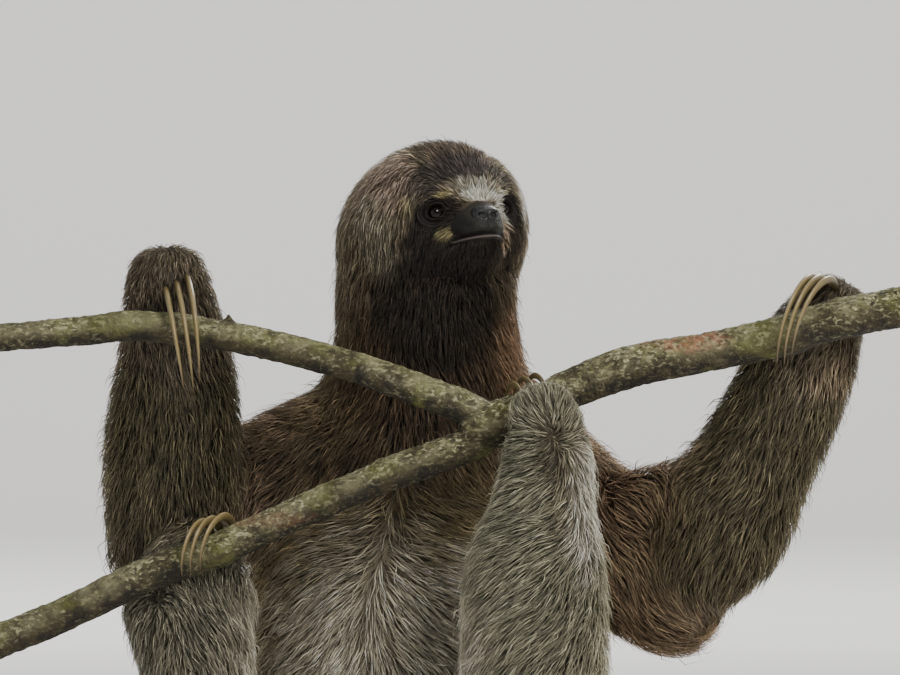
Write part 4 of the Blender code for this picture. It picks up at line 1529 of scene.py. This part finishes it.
@dataclass(frozen=True)
class Eye:
    """An eyeball with its bulging cornea, looking out along its own axis."""

    head: Head
    side: int
    bulge: float = 0.0005
    pupil: float = 15.0
    iris: float = 44.0
    black: Colour = (3, 3, 4)
    brown: Colour = (28, 21, 16)
    rim: Colour = (10, 7, 6)
    white: Colour = (58, 44, 36)
    rings: int = 40
    sides: int = 48

    def build(self) -> Piece:
        """Rings round the eye's axis, at the eye's radius plus bulge * e^-(angle / 32)^2.

        Returns:
            The eyeball, painted with pupil, iris, its dark rim and the brown white.
        """
        head = self.head
        axis = head.towards(self.side * head.eye_turn, head.eye_rise)
        aside = unit(np.cross(axis, [0.0, 0.0, 1.0]))
        up = np.cross(aside, axis)
        angle = np.radians(np.linspace(0.7, 178.0, self.rings))[:, None]
        turn = circle(self.sides)[None]
        far = head.eye_radius + self.bulge * bump(np.degrees(angle) / 32)
        own = (
            axis * head.eye_depth
            + (far * np.cos(angle) * np.ones_like(turn))[..., None] * axis
            + (far * np.sin(angle) * np.cos(turn))[..., None] * aside
            + (far * np.sin(angle) * np.sin(turn))[..., None] * up
        )
        name = "eyeball_left" if self.side > 0 else "eyeball_right"
        points, faces = tube(head.world(own))
        eye = outward(solid(name, points, faces))
        steps = np.append(np.repeat(np.degrees(angle[:, 0]), self.sides), [0.0, 180.0])
        spokes = np.append(np.tile(np.sin(turn[0] * 23) * np.sin(turn[0] * 9 + 1), self.rings), [0, 0])
        colour = washed(
            self.black, len(points),
            (self.brown, ramp(steps, self.pupil - 2, self.pupil + 4) * (0.75 + 0.25 * spokes)),
            (self.rim, ramp(steps, self.iris - 8, self.iris)),
            (self.white, ramp(steps, self.iris + 8, self.iris + 26)),
        )
        paint(eye, "eye_colour", np.column_stack([colour, np.ones(len(points))]))
        return eye


@dataclass(frozen=True)
class Nose:
    """The nose pad: a broad rounded pad with two nostrils and a groove between them."""

    head: Head
    place: Triple = (0.0, 0.0617, -0.0076)
    size: Triple = (0.0088, 0.0046, 0.0060)
    leather: Colour = (25, 27, 28)
    dark: Colour = (4, 4, 5)
    rings: int = 48
    sides: int = 64

    def build(self) -> Piece:
        """An oval of the three half sizes, wider above, with dents for nostrils and groove.

        Returns:
            The nose pad.
        """
        polar = (np.arange(self.rings) + 0.5)[:, None] * math.pi / self.rings
        way = ball(polar, circle(self.sides)[None])
        way = np.sign(way) * np.abs(way) ** 0.9
        own = way * np.array(self.size)
        own[..., 0] *= 1 + 0.12 * way[..., 2]
        x, z = np.abs(own[..., 0]), own[..., 2]
        front = ramp(way[..., 1], 0.0, 0.4)
        nostril = bump((x - 0.0039) / 0.0019, (z + 0.0007 - 0.35 * (x - 0.0039)) / 0.0014)
        wing = bump((x - 0.0052) / 0.0022, (z - 0.0014) / 0.0016)
        own[..., 1] += front * (
            -0.0036 * nostril + 0.0006 * wing - 0.0006 * bump(x / 0.0005) * ramp(-z, -0.002, 0.002)
        )
        nose = outward(solid("nose_pad", *tube(self.head.world(own + np.array(self.place)))))
        # Painted shade: the nostrils' dents are painted near black.
        shade = washed(self.leather, x.size, (self.dark, (front * ramp(nostril, 0.25, 0.7)).ravel()))
        shade = np.vstack([shade, shade[:1], shade[-1:]])
        paint(nose, "coat_colour", np.column_stack([shade, np.ones(len(shade))]))
        return nose


@dataclass(frozen=True)
class Paw:
    """Three hooked claws, each along the circle through its root, crest and tip."""

    name: str
    claws: tuple[tuple[Triple, ...], ...]
    half_deep: float = 0.0027
    half_wide: float = 0.0018
    base: Colour = (66, 55, 37)
    pale: Colour = (130, 115, 78)
    point: Colour = (84, 70, 46)
    rooted: float = 0.07
    steps: int = 30
    sides: int = 14

    def line(self, claw: tuple[Triple, ...]) -> tuple[Array, Array]:
        """Points along a claw's circle from inside the paw to its tip, and the circle's axis.

        Args:
            claw: root, crest and tip.

        Returns:
            The points, and the axis as a unit vector.
        """
        a, b, c = (np.array(p) for p in claw)
        axis = np.cross(b - a, c - a)
        square = axis @ axis
        middle = a + (
            (c - a) @ (c - a) * np.cross(axis, b - a) + (b - a) @ (b - a) * np.cross(c - a, axis)
        ) / (2 * square)
        first, axis = a - middle, axis / math.sqrt(square)
        ahead = np.cross(axis, first)
        last = c - middle
        reach = math.atan2(last @ ahead, last @ first) % (2 * math.pi)
        turn = np.linspace(-self.rooted * reach, reach, self.steps)[:, None]
        return middle + first * np.cos(turn) + ahead * np.sin(turn), axis

    def horn(self, claw: tuple[Triple, ...]) -> tuple[Array, Array, Array]:
        """One claw.

        Each ring is an oval, deep in the circle's plane and thin across it, that shrinks
        with 1 - s^2.2, has a ridge along the outer curve and a flat along the inner one, and
        swells a little at each growth ring. The horn is painted palest along the outer curve,
        a painted highlight, and darkest at the sides, painted shade.

        Args:
            claw: root, crest and tip.

        Returns:
            Points, triangles and the colour at each point.
        """
        line, axis = self.line(claw)
        share = np.linspace(0, 1, len(line))
        along = unit(np.gradient(line, axis=0))
        outer = unit(np.cross(along, np.tile(axis, (len(line), 1))))
        slim = ((1 - share**2.2) * 0.86 + 0.14) * (1 + 0.012 * np.sin(share * 95))
        turn = circle(self.sides)
        ridge = 1 + 0.10 * np.cos(turn) ** 8 * (np.cos(turn) > 0) - 0.06 * (np.cos(turn) < -0.5)
        deep, wide = outer * self.half_deep * slim[:, None], axis * self.half_wide * slim[:, None]
        points, faces = tube(sweep(line, deep, wide, turn, ridge))
        tone = washed(
            self.base, len(share),
            (self.pale, ramp(share, 0.02, 0.35)), (self.point, ramp(share, 0.70, 1.0)),
        )
        tone = np.repeat(tone, len(turn), axis=0)
        # Painted highlight along the outer curve and painted shade at the sides.
        side = 1.08 + 0.14 * np.cos(turn) - 0.50 * np.abs(np.sin(turn)) ** 1.5
        tone = tone * np.tile(side, len(share))[:, None]
        tone = np.vstack([tone, tone[:1], tone[-1:]])
        return points, faces, tone

    def build(self) -> Piece:
        """The paw's claws as one piece.

        Returns:
            The claws, painted.
        """
        made = [self.horn(claw) for claw in self.claws]
        piece = outward(solid(self.name, *joined([(points, faces) for points, faces, _ in made])))
        tones = np.vstack([tone for _, _, tone in made])
        paint(piece, "claw_colour", np.column_stack([np.clip(tones, 0, 1), np.ones(len(tones))]))
        return piece


PAWS = (
    Paw("claws_hand_right", (
        ((-.1612, -.086, .4457), (-.1551, -.1215, .4230), (-.1497, -.112, .3886)),
        ((-.1554, -.086, .4492), (-.1487, -.1220, .4247), (-.1445, -.112, .3880)),
        ((-.1496, -.086, .4527), (-.1429, -.1215, .4264), (-.1412, -.112, .3935)),
    )),
    Paw("claws_hand_left", (
        ((.2085, -.086, .4490), (.1930, -.1220, .4418), (.1842, -.117, .4046)),
        ((.2140, -.086, .4480), (.1968, -.1230, .4406), (.1883, -.118, .4045)),
        ((.2190, -.086, .4455), (.2008, -.1240, .4390), (.1924, -.119, .4100)),
    )),
    Paw("claws_foot_right", (
        ((-.1350, -.0865, .3010), (-.1495, -.1215, .3002), (-.1507, -.118, .2850)),
        ((-.1295, -.0865, .3030), (-.1445, -.1215, .3017), (-.1458, -.118, .2862)),
        ((-.1225, -.0865, .3050), (-.1385, -.1215, .3037), (-.1404, -.118, .2882)),
    )),
    Paw("claws_foot_left", (
        ((.0400, -.131, .3865), (.0345, -.108, .3925), (.0290, -.086, .3725)),
        ((.0470, -.131, .3895), (.0400, -.108, .3955), (.0350, -.086, .3755)),
        ((.0540, -.131, .3905), (.0465, -.108, .3975), (.0415, -.086, .3775)),
    ), 0.0020, 0.0012),
)


# ---- perch and stand


@dataclass(frozen=True)
class Branch:
    """The cut length of forked branch: lines of (x, z, radius) in one upright plane.

    The first three lines are the limbs, each of which has a sawn end, and the last is a knob.
    """

    depth: float = -0.105
    voxel: float = 0.0014
    lines: tuple[tuple[Triple, ...], ...] = (
        ((.2755, .4400, .0118), (.2210, .4302, .0117), (.1897, .4209, .0119), (.1520, .4122, .0112),
         (.1032, .4030, .0122), (.0684, .3905, .0118), (.0464, .3791, .0120), (.0220, .3690, .0135),
         (.0080, .3640, .0100)),
        ((.0261, .3705, .0100), (.0058, .3805, .0100), (-.0354, .3965, .0092), (-.0754, .4087, .0089),
         (-.1351, .4218, .0089), (-.1792, .4258, .0087), (-.2059, .4232, .0085), (-.2755, .4174, .0084)),
        ((.0261, .3693, .0105), (.0060, .3570, .0105), (-.0447, .3380, .0096), (-.1114, .3090, .0098),
         (-.1334, .2979, .0102), (-.1734, .2846, .0098), (-.2175, .2631, .0100), (-.2755, .2394, .0100)),
        ((-.1240, .4235, .0040), (-.1247, .4290, .0026), (-.1255, .4332, .0014)),
    )
    bare: tuple[Patch, ...] = (
        Patch((.1300, -.114, .4190), (.026, .012, .0072), Tint((100, 68, 52), (148, 100, 76)), .75),
        Patch((-.1060, -.114, .3170), (.036, .012, .0045), Tint((84, 62, 46), (118, 84, 62)), .45),
    )
    steps: int = 12
    sides: int = 40
    saw_cut: Pair = (0.2738, 0.2746)
    pull: Triple = (0.6, 1.0, 1.0)
    ring_waves: float = 5200.0

    def limb(self, line: tuple[Triple, ...]) -> Shape:
        """A round length of wood: rings of the line's radius, square to the line.

        Args:
            line: rows of x, z and radius.

        Returns:
            Points and triangles.
        """
        x, z, radius = through(line, self.steps).T
        centres = np.stack([x, np.full_like(x, self.depth), z], 1)
        aside = np.cross(unit(np.gradient(centres, axis=0)), DEPTH)
        return tube(sweep(centres, aside * radius[:, None], DEPTH * radius[:, None], circle(self.sides)))

    def build(self) -> Piece:
        """Fuses the limbs, and raises bark, knots and moss along the wood's own normals.

        Returns:
            The branch, painted.
        """
        limbs = joined([self.limb(line) for line in self.lines])
        wood = fused(outward(solid("branch", *limbs)), self.voxel, 2)
        points, normal = (rows_of(wood.data.vertices, name) for name in ("co", "normal"))
        stretched = points * np.array([0.45, 1.0, 1.0])
        moss = ramp(layered(points, 55, 31) + 0.35 * normal[:, 2], 0.05, 0.45)
        knot = ramp(noise(points, 26, 35), 0.62, 0.95)
        sawn = ramp(np.abs(points[:, 0]), *self.saw_cut)
        rise = (
            0.00075 * layered(stretched, 120, 32) + 0.00045 * noise(points, 420, 33)
            + 0.0014 * knot + 0.00070 * moss * (0.5 + 0.5 * noise(points, 600, 34)) - 0.0004
        )
        moved(wood, points + normal * (rise * (1 - sawn))[:, None])
        self.colour(wood, points, normal, moss, sawn)
        return wood

    def colour(self, wood: Piece, points: Array, normal: Array, moss: Array, sawn: Array) -> None:
        """Paints bark, moss, pale lichen, the bare reddish places and the sawn ends' rings, with painted
        shade on the undersides and painted light on the tops.

        The fourth number is the crust: how strongly the finish's flecks show.

        Args:
            wood: the branch.
            points, normal: its points before the bark was raised, and the wood's normals.
            moss, sawn: how far each point is mossy, and how far it lies on a sawn end.
        """
        # How far the bark faces up and forward; it places lichen and painted light.
        top = ramp(normal[:, 2] - 0.35 * normal[:, 1], -0.2, 0.8)
        # Painted shade: darker on the undersides, mixed with a random dark tone.
        dark = ramp(layered(points, 140, 41) - 0.5 * normal[:, 2], -0.1, 0.6)
        crack = ramp(layered(points * np.array([0.35, 1.0, 1.0]), 420, 45), 0.15, 0.6)
        lichen = ramp(layered(points * self.pull, 460, 42) + 0.45 * top, 0.58, 0.95)
        # Partly pale lichen and partly painted light: the tops are made paler where light falls.
        pale = top * ramp(layered(points, 90, 46), -0.4, 0.3)
        speck = ramp(layered(points, 700, 44), 0.42, 0.62) * top
        ragged = ramp(layered(points, 260, 43), -0.5, 0.4)
        ends = np.array([line[end][:2] for line, end in zip(self.lines, (0, -1, -1))])
        gap = np.abs(points[:, :1] - ends[:, 0]) + np.abs(points[:, 2:] - ends[:, 1])
        height = points[:, 2] - ends[gap.argmin(1), 1]
        rings = 0.5 + 0.5 * np.sin(np.hypot(points[:, 1] - self.depth, height) * self.ring_waves)
        shade = washed(
            (62, 56, 38), len(points), ((34, 29, 22), dark), ((84, 86, 46), 0.8 * moss),
            ((40, 34, 26), 0.65 * crack), ((156, 152, 112), 0.6 * lichen),
            ((150, 146, 112), 0.42 * pale), ((196, 194, 166), 0.55 * speck),
            *((patch.tint.tip, patch.share(points) * ragged) for patch in self.bare),
            ((186, 158, 118), sawn), ((140, 112, 78), sawn * rings * 0.6),
        )
        cluster = 0.30 + 0.70 * ramp(layered(points * self.pull, 75, 47), -0.35, 0.45)
        # The flecks are denser on the tops, where lichen grows, and on the right-hand side as painted
        # light.
        aside = 0.72 + 0.28 * ramp(points[:, 0], -0.04, 0.05)
        crust = (1 - sawn) * (0.30 + 0.70 * top) * cluster * aside
        paint(wood, "bark_colour", np.column_stack([shade, crust]))


@dataclass(frozen=True)
class Stand:
    """The display stand: a plate with eased edges, and a rod on a screwed-down round foot."""

    plate: Triple = (0.34, 0.25, 0.016)
    ease: float = 0.003
    rod_place: Pair = (-0.0336, 0.012)
    rod_radius: float = 0.007
    rod_top: float = 0.090
    foot_radius: float = 0.020
    foot_height: float = 0.005
    screw_ring: float = 0.0145
    gap: float = 0.0003

    def board(self) -> Piece:
        """Rounded rectangles stacked up: |x|^n + |y|^n = 1 with n = 24, drawn in at both edges.

        Returns:
            The board.
        """
        wide, deep, high = self.plate
        turn = circle(160)
        corner = (np.abs(np.cos(turn)) ** 24 + np.abs(np.sin(turn)) ** 24) ** (-1 / 24)
        x, y = np.cos(turn) * corner * wide / 2, np.sin(turn) * corner * deep / 2
        ease = np.linspace(0, 0.5 * math.pi, 6)
        inset = self.ease * np.concatenate([1 - np.sin(ease), 1 - np.cos(ease)])
        level = np.concatenate([self.ease * (1 - np.cos(ease)), high - self.ease * (1 - np.sin(ease))])
        ring = np.stack([
            x[None] - np.sign(x)[None] * np.minimum(inset[:, None], np.abs(x)[None]),
            y[None] - np.sign(y)[None] * np.minimum(inset[:, None], np.abs(y)[None]),
            np.broadcast_to(level[:, None], (len(level), len(turn))),
        ], -1)
        return outward(solid("stand_board", *tube(ring), rounded=False))

    def rod(self) -> Piece:
        """The rod, its foot and three screw heads, turned from profiles of (radius, height).

        Returns:
            The post: rod, foot and screws as one piece.
        """
        low = self.plate[2] + self.gap
        foot = low + self.foot_height
        edge = 0.0008
        rod = tube(turned(*np.array((
            (0.0005, low), (self.foot_radius, low), (self.foot_radius, foot - edge),
            (self.foot_radius - edge, foot), (self.rod_radius + 0.003, foot),
            (self.rod_radius + 0.0008, foot + 0.0008), (self.rod_radius, foot + 0.0030),
            (self.rod_radius, self.rod_top - edge), (self.rod_radius - edge, self.rod_top),
            (0.0005, self.rod_top),
        )).T, 48, self.rod_place))
        screw = np.array((
            (0.0002, foot - 0.001), (0.0026, foot - 0.001), (0.0026, foot + 0.0006),
            (0.0018, foot + 0.0011), (0.0002, foot + 0.0012),
        )).T
        x, y = self.rod_place
        screws = [
            tube(turned(*screw, 20, (x + self.screw_ring * math.cos(t), y + self.screw_ring * math.sin(t))))
            for t in np.radians([90.0, 210.0, 330.0])
        ]
        return outward(solid("stand_post", *joined([rod, *screws]), rounded=False))


# ---- finishes


def mottle() -> bpy.types.NodeTree:
    """The shared effect of uneven tone: a colour made lighter and darker, and a height.

    Returns:
        A group with Colour, Scale and Contrast in, and Colour and Height out.
    """
    tree = bpy.data.node_groups.new("mottle", "ShaderNodeTree")
    for name, way, kind, value in (
        ("Colour", "INPUT", "NodeSocketColor", (0.5, 0.5, 0.5, 1.0)),
        ("Scale", "INPUT", "NodeSocketFloat", 400.0),
        ("Contrast", "INPUT", "NodeSocketFloat", 0.3),
        ("Colour", "OUTPUT", "NodeSocketColor", None),
        ("Height", "OUTPUT", "NodeSocketFloat", None),
    ):
        socket = tree.interface.new_socket(name, in_out=way, socket_type=kind)
        if value is not None:
            socket.default_value = value
    wires = Wiring(tree)
    start = wires.add("NodeGroupInput")
    place = wires.add("ShaderNodeTexCoord").outputs["Object"]
    grain = wires.add("ShaderNodeTexNoise", {
        "Vector": place, "Scale": start.outputs["Scale"], "Detail": 4.0, "Roughness": 0.6,
    }).outputs[0]
    swing = wires.sum("MULTIPLY", wires.sum("SUBTRACT", grain, 0.5), start.outputs["Contrast"])
    tone = wires.sum("ADD", wires.sum("MULTIPLY", swing, 2.0), 1.0)
    scaled = wires.add("ShaderNodeVectorMath", {
        0: start.outputs["Colour"], "Scale": tone,
    }, operation="SCALE")
    wires.add("NodeGroupOutput", {"Colour": scaled.outputs[0], "Height": grain})
    return tree


def emptied(name: str) -> tuple[Material, Wiring]:
    """A new material without nodes, and the wiring of its tree."""
    made = bpy.data.materials.new(name)
    made.use_nodes = True
    made.node_tree.nodes.clear()
    return made, Wiring(made.node_tree)


@dataclass(frozen=True)
class Fleck:
    """Small marks of one colour, raised or sunk, where a noise lies between two heights."""

    colour: Colour
    scale: float
    low: float
    high: float
    strength: float
    lift: float
    stretch: Triple = (1.0, 1.0, 1.0)

    def share(self, wires: Wiring) -> Socket:
        """How strongly the marks cover a place: 0 below the low height, 1 above the high one."""
        grain = wires.noise(self.stretch, {
            "Scale": self.scale, "Detail": 3.0, "Roughness": 0.6, "Distortion": 0.4,
        })
        return wires.add("ShaderNodeMapRange", {
            "Value": grain, "From Min": self.low, "From Max": self.high, "To Max": self.strength,
        }, interpolation_type="SMOOTHSTEP").outputs[0]


@dataclass(frozen=True)
class Finish:
    """A material whose colour is painted on the piece and made uneven, with a fine bump."""

    name: str
    layer: str
    group: bpy.types.NodeTree
    scale: float
    contrast: float
    roughness: float
    relief: float
    cells: float = 0.0
    specular: float = 0.5
    gloss: float = 0.0
    sheen: float = 0.0
    bare_roughness: float | None = None
    flecks: tuple[Fleck, ...] = ()

    def build(self) -> Material:
        """Wires the material.

        Returns:
            The material: a Principled surface with mottled colour, flecks where the painted
            alpha lets them, and noise or cell relief.
        """
        made, wires = emptied(self.name)
        painted = wires.add("ShaderNodeAttribute", attribute_name=self.layer)
        uneven = wires.add("ShaderNodeGroup", {
            "Colour": painted.outputs["Color"], "Scale": self.scale, "Contrast": self.contrast,
        }, node_tree=self.group)
        colour, height = uneven.outputs["Colour"], uneven.outputs["Height"]
        for fleck in self.flecks:
            share = wires.sum("MULTIPLY", fleck.share(wires), painted.outputs["Alpha"])
            colour = wires.mix(share, colour, (*linear(fleck.colour), 1.0))
            height = wires.sum("ADD", height, wires.sum("MULTIPLY", share, fleck.lift))
        if self.cells:
            place = wires.add("ShaderNodeTexCoord").outputs["Object"]
            pattern = wires.add("ShaderNodeTexVoronoi", {"Vector": place, "Scale": self.cells})
            height = wires.sum("ADD", wires.sum("MULTIPLY", height, 0.5), pattern.outputs["Distance"])
        relief = wires.add("ShaderNodeBump", {"Height": height, "Strength": 0.8, "Distance": self.relief})
        surface = wires.add("ShaderNodeBsdfPrincipled", {
            "Base Color": colour, "Roughness": self.roughness,
            "Specular IOR Level": self.specular, "Coat Weight": self.gloss, "Coat Roughness": 0.06,
            "Sheen Weight": self.sheen, "Normal": relief.outputs[0],
        })
        if self.bare_roughness is not None:
            step = wires.sum("MULTIPLY", painted.outputs["Alpha"], self.bare_roughness - self.roughness)
            wires.feed(surface.inputs["Roughness"], wires.sum("ADD", step, self.roughness))
        wires.add("ShaderNodeOutputMaterial", {0: surface.outputs[0]})
        return made


@dataclass(frozen=True)
class Grain:
    """A material with stretched grain between two colours: the stand's board and its post."""

    name: str
    group: bpy.types.NodeTree
    dark: Colour
    light: Colour
    stretch: Triple
    scale: float
    roughness: float
    metallic: float = 0.0
    mottle_scale: float = 60.0
    mottle_contrast: float = 0.12
    relief: float = 0.0003

    def build(self) -> Material:
        """Wires the material: stretched noise between two colours, mottled, and its relief.

        Returns:
            The material.
        """
        made, wires = emptied(self.name)
        grain = wires.noise(self.stretch, {"Scale": self.scale, "Detail": 5.0, "Distortion": 0.6})
        uneven = wires.add("ShaderNodeGroup", {
            "Colour": wires.mix(grain, (*linear(self.dark), 1.0), (*linear(self.light), 1.0)),
            "Scale": self.mottle_scale, "Contrast": self.mottle_contrast,
        }, node_tree=self.group)
        relief = wires.add("ShaderNodeBump", {"Height": grain, "Strength": 0.3, "Distance": self.relief})
        surface = wires.add("ShaderNodeBsdfPrincipled", {
            "Base Color": uneven.outputs["Colour"], "Roughness": self.roughness,
            "Metallic": self.metallic, "Normal": relief.outputs[0],
        })
        wires.add("ShaderNodeOutputMaterial", {0: surface.outputs[0]})
        return made


@dataclass(frozen=True)
class Studio:
    """A round pale floor that curves up into a wall, soft lights and the camera."""

    floor_radius: float = 11.0
    curve: float = 2.0
    wall: float = 6.0
    sides: int = 96
    camera_place: Triple = (0.0, -4.0, 0.41945)
    lens: float = 275.9

    def floor(self) -> Piece:
        """A profile of (radius, height), flat, then a quarter circle, then upright, turned once.

        Returns:
            The floor, which is not a part of the model.
        """
        bend = np.linspace(0, 0.5 * math.pi, 16)
        outer = self.floor_radius + self.curve
        radius = np.concatenate([[0.001, 3.0], self.floor_radius + self.curve * np.sin(bend), [outer]])
        height = np.concatenate([[0.0, 0.0], self.curve * (1 - np.cos(bend)), [self.wall]])
        points, faces = tube(turned(radius, height, self.sides))
        floor = solid("studio_floor", points[:-1], faces[: -self.sides])
        paper = bpy.data.materials.new("pale_paper")
        paper.use_nodes = True
        surface = paper.node_tree.nodes["Principled BSDF"]
        surface.inputs["Base Color"].default_value = (0.92, 0.91, 0.89, 1.0)
        surface.inputs["Roughness"].default_value = 0.9
        floor.data.materials.append(paper)
        return floor

    def light(self, name: str, place: Triple, size: float, power: float,
              tone: Colour, aim: Triple = (0.0, 0.0, 0.40)) -> None:
        """A square soft light at a place, turned to the animal or to another aim.

        Args:
            name: the lamp's name.
            place: where it hangs.
            size: its side in metres.
            power: its watts.
            tone: the colour of its light.
            aim: what it points at.
        """
        lamp = bpy.data.lights.new(name, "AREA")
        lamp.size, lamp.energy, lamp.color = size, power, tone
        obj = bpy.data.objects.new(name, lamp)
        bpy.context.scene.collection.objects.link(obj)
        obj.location = place
        obj.rotation_euler = (Vector(aim) - Vector(place)).to_track_quat("-Z", "Y").to_euler()
        obj.visible_camera = False

    def build(self) -> None:
        """Sets up floor, world, lights and camera."""
        self.floor()
        world = bpy.data.worlds.new("studio_air")
        world.use_nodes = True
        world.node_tree.nodes["Background"].inputs[0].default_value = (0.90, 0.92, 0.95, 1.0)
        world.node_tree.nodes["Background"].inputs[1].default_value = 0.52
        bpy.context.scene.world = world
        self.light("key", (1.5, -2.0, 2.4), 1.0, 82.0, (1.0, 0.95, 0.88))
        self.light("fill", (-2.2, -2.4, 1.3), 1.8, 10.0, (0.93, 0.96, 1.0))
        self.light("rim", (1.2, 1.9, 2.0), 1.0, 46.0, (1.0, 0.97, 0.92))
        self.light("wall", (0.0, 5.0, 4.5), 3.0, 380.0, (1.0, 0.99, 0.97), (0.0, 12.5, 0.8))
        view = bpy.data.cameras.new("camera")
        view.sensor_width, view.lens = 36.0, self.lens
        view.clip_start, view.clip_end = 0.05, 60.0
        camera = bpy.data.objects.new("camera", view)
        bpy.context.scene.collection.objects.link(camera)
        camera.location = self.camera_place
        camera.rotation_euler = (0.5 * math.pi, 0.0, 0.0)
        bpy.context.scene.camera = camera


# ---- making


def place(piece: Piece, finish: Material, slot: Slot, *nodes: str) -> None:
    """Dresses a piece, ties it to the model and says which solids it stands for.

    Args:
        piece: the piece.
        finish: its material.
        slot: not used.
        nodes: the solids that it replaces.
    """
    piece.data.materials.clear()
    piece.data.materials.append(finish)
    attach(piece, "root")
    if nodes:
        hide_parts(*nodes)
    log.info("%s: %d faces", piece.name, len(piece.data.polygons))


def main() -> None:
    """Builds the animal, its perch and its stand, and the studio round them."""
    logging.basicConfig(level=logging.INFO, format="%(message)s")
    group = mottle()
    body = Body()
    fur = Finish("sloth_fur", "coat_colour", group, 900.0, 0.22, 0.62, 0.0001,
                 specular=0.28, sheen=0.06).build()
    hide = Finish("sloth_hide", "coat_colour", group, 700.0, 0.30, 0.85, 0.00035,
                  cells=850.0, specular=0.20, bare_roughness=0.50).build()
    leather = Finish("nose_leather", "coat_colour", group, 900.0, 0.25, 0.36, 0.00025,
                     cells=1300.0, specular=0.3, gloss=0.25).build()
    glass = Finish("moist_eye", "eye_colour", group, 1500.0, 0.20, 0.14, 0.00001,
                   specular=0.15, gloss=0.2).build()
    horn = Finish("claw_horn", "claw_colour", group, 500.0, 0.30, 0.34, 0.00012, gloss=0.15).build()
    bark = Finish("mossy_bark", "bark_colour", group, 420.0, 0.55, 0.88, 0.0009, cells=520.0, flecks=(
        Fleck((28, 24, 16), 400.0, 0.50, 0.63, 0.95, -0.8, (0.6, 1.0, 1.0)),
        Fleck((112, 112, 62), 300.0, 0.56, 0.66, 0.50, 0.3),
        Fleck((192, 188, 148), 470.0, 0.52, 0.66, 0.90, 0.6, (0.6, 1.0, 1.0)),
    )).build()
    oak = Grain("oiled_oak", group, (96, 66, 42), (164, 122, 82), (1.0, 9.0, 6.0), 9.0, 0.42).build()
    steel = Grain("dark_steel", group, (52, 54, 56), (70, 72, 74), (1.0, 1.0, 0.05), 900.0, 0.38,
                  metallic=0.8).build()

    skin = Skin(body).build()
    place(skin, hide, Slot.COAT, *FLESH)
    for piece in Coat(body).grow(skin):
        place(piece, fur, Slot.COAT)
    place(Eye(body.head, 1).build(), glass, Slot.EYE, "eye_left")
    place(Eye(body.head, -1).build(), glass, Slot.EYE, "eye_right")
    place(Nose(body.head).build(), leather, Slot.NOSE, "nose")
    for paw in PAWS:
        limb = paw.name.removeprefix("claws_")
        place(paw.build(), horn, Slot.CLAW, *(f"claw_{limb}_{number}" for number in (1, 2, 3)))
    place(Branch().build(), bark, Slot.BARK, "branch_main", "branch_upper", "branch_lower")
    stand = Stand()
    place(stand.board(), oak, Slot.WOOD, "stand_base")
    place(stand.rod(), steel, Slot.STEEL, "stand_rod")
    Studio().build()


if __name__ == "__main__":
    main()
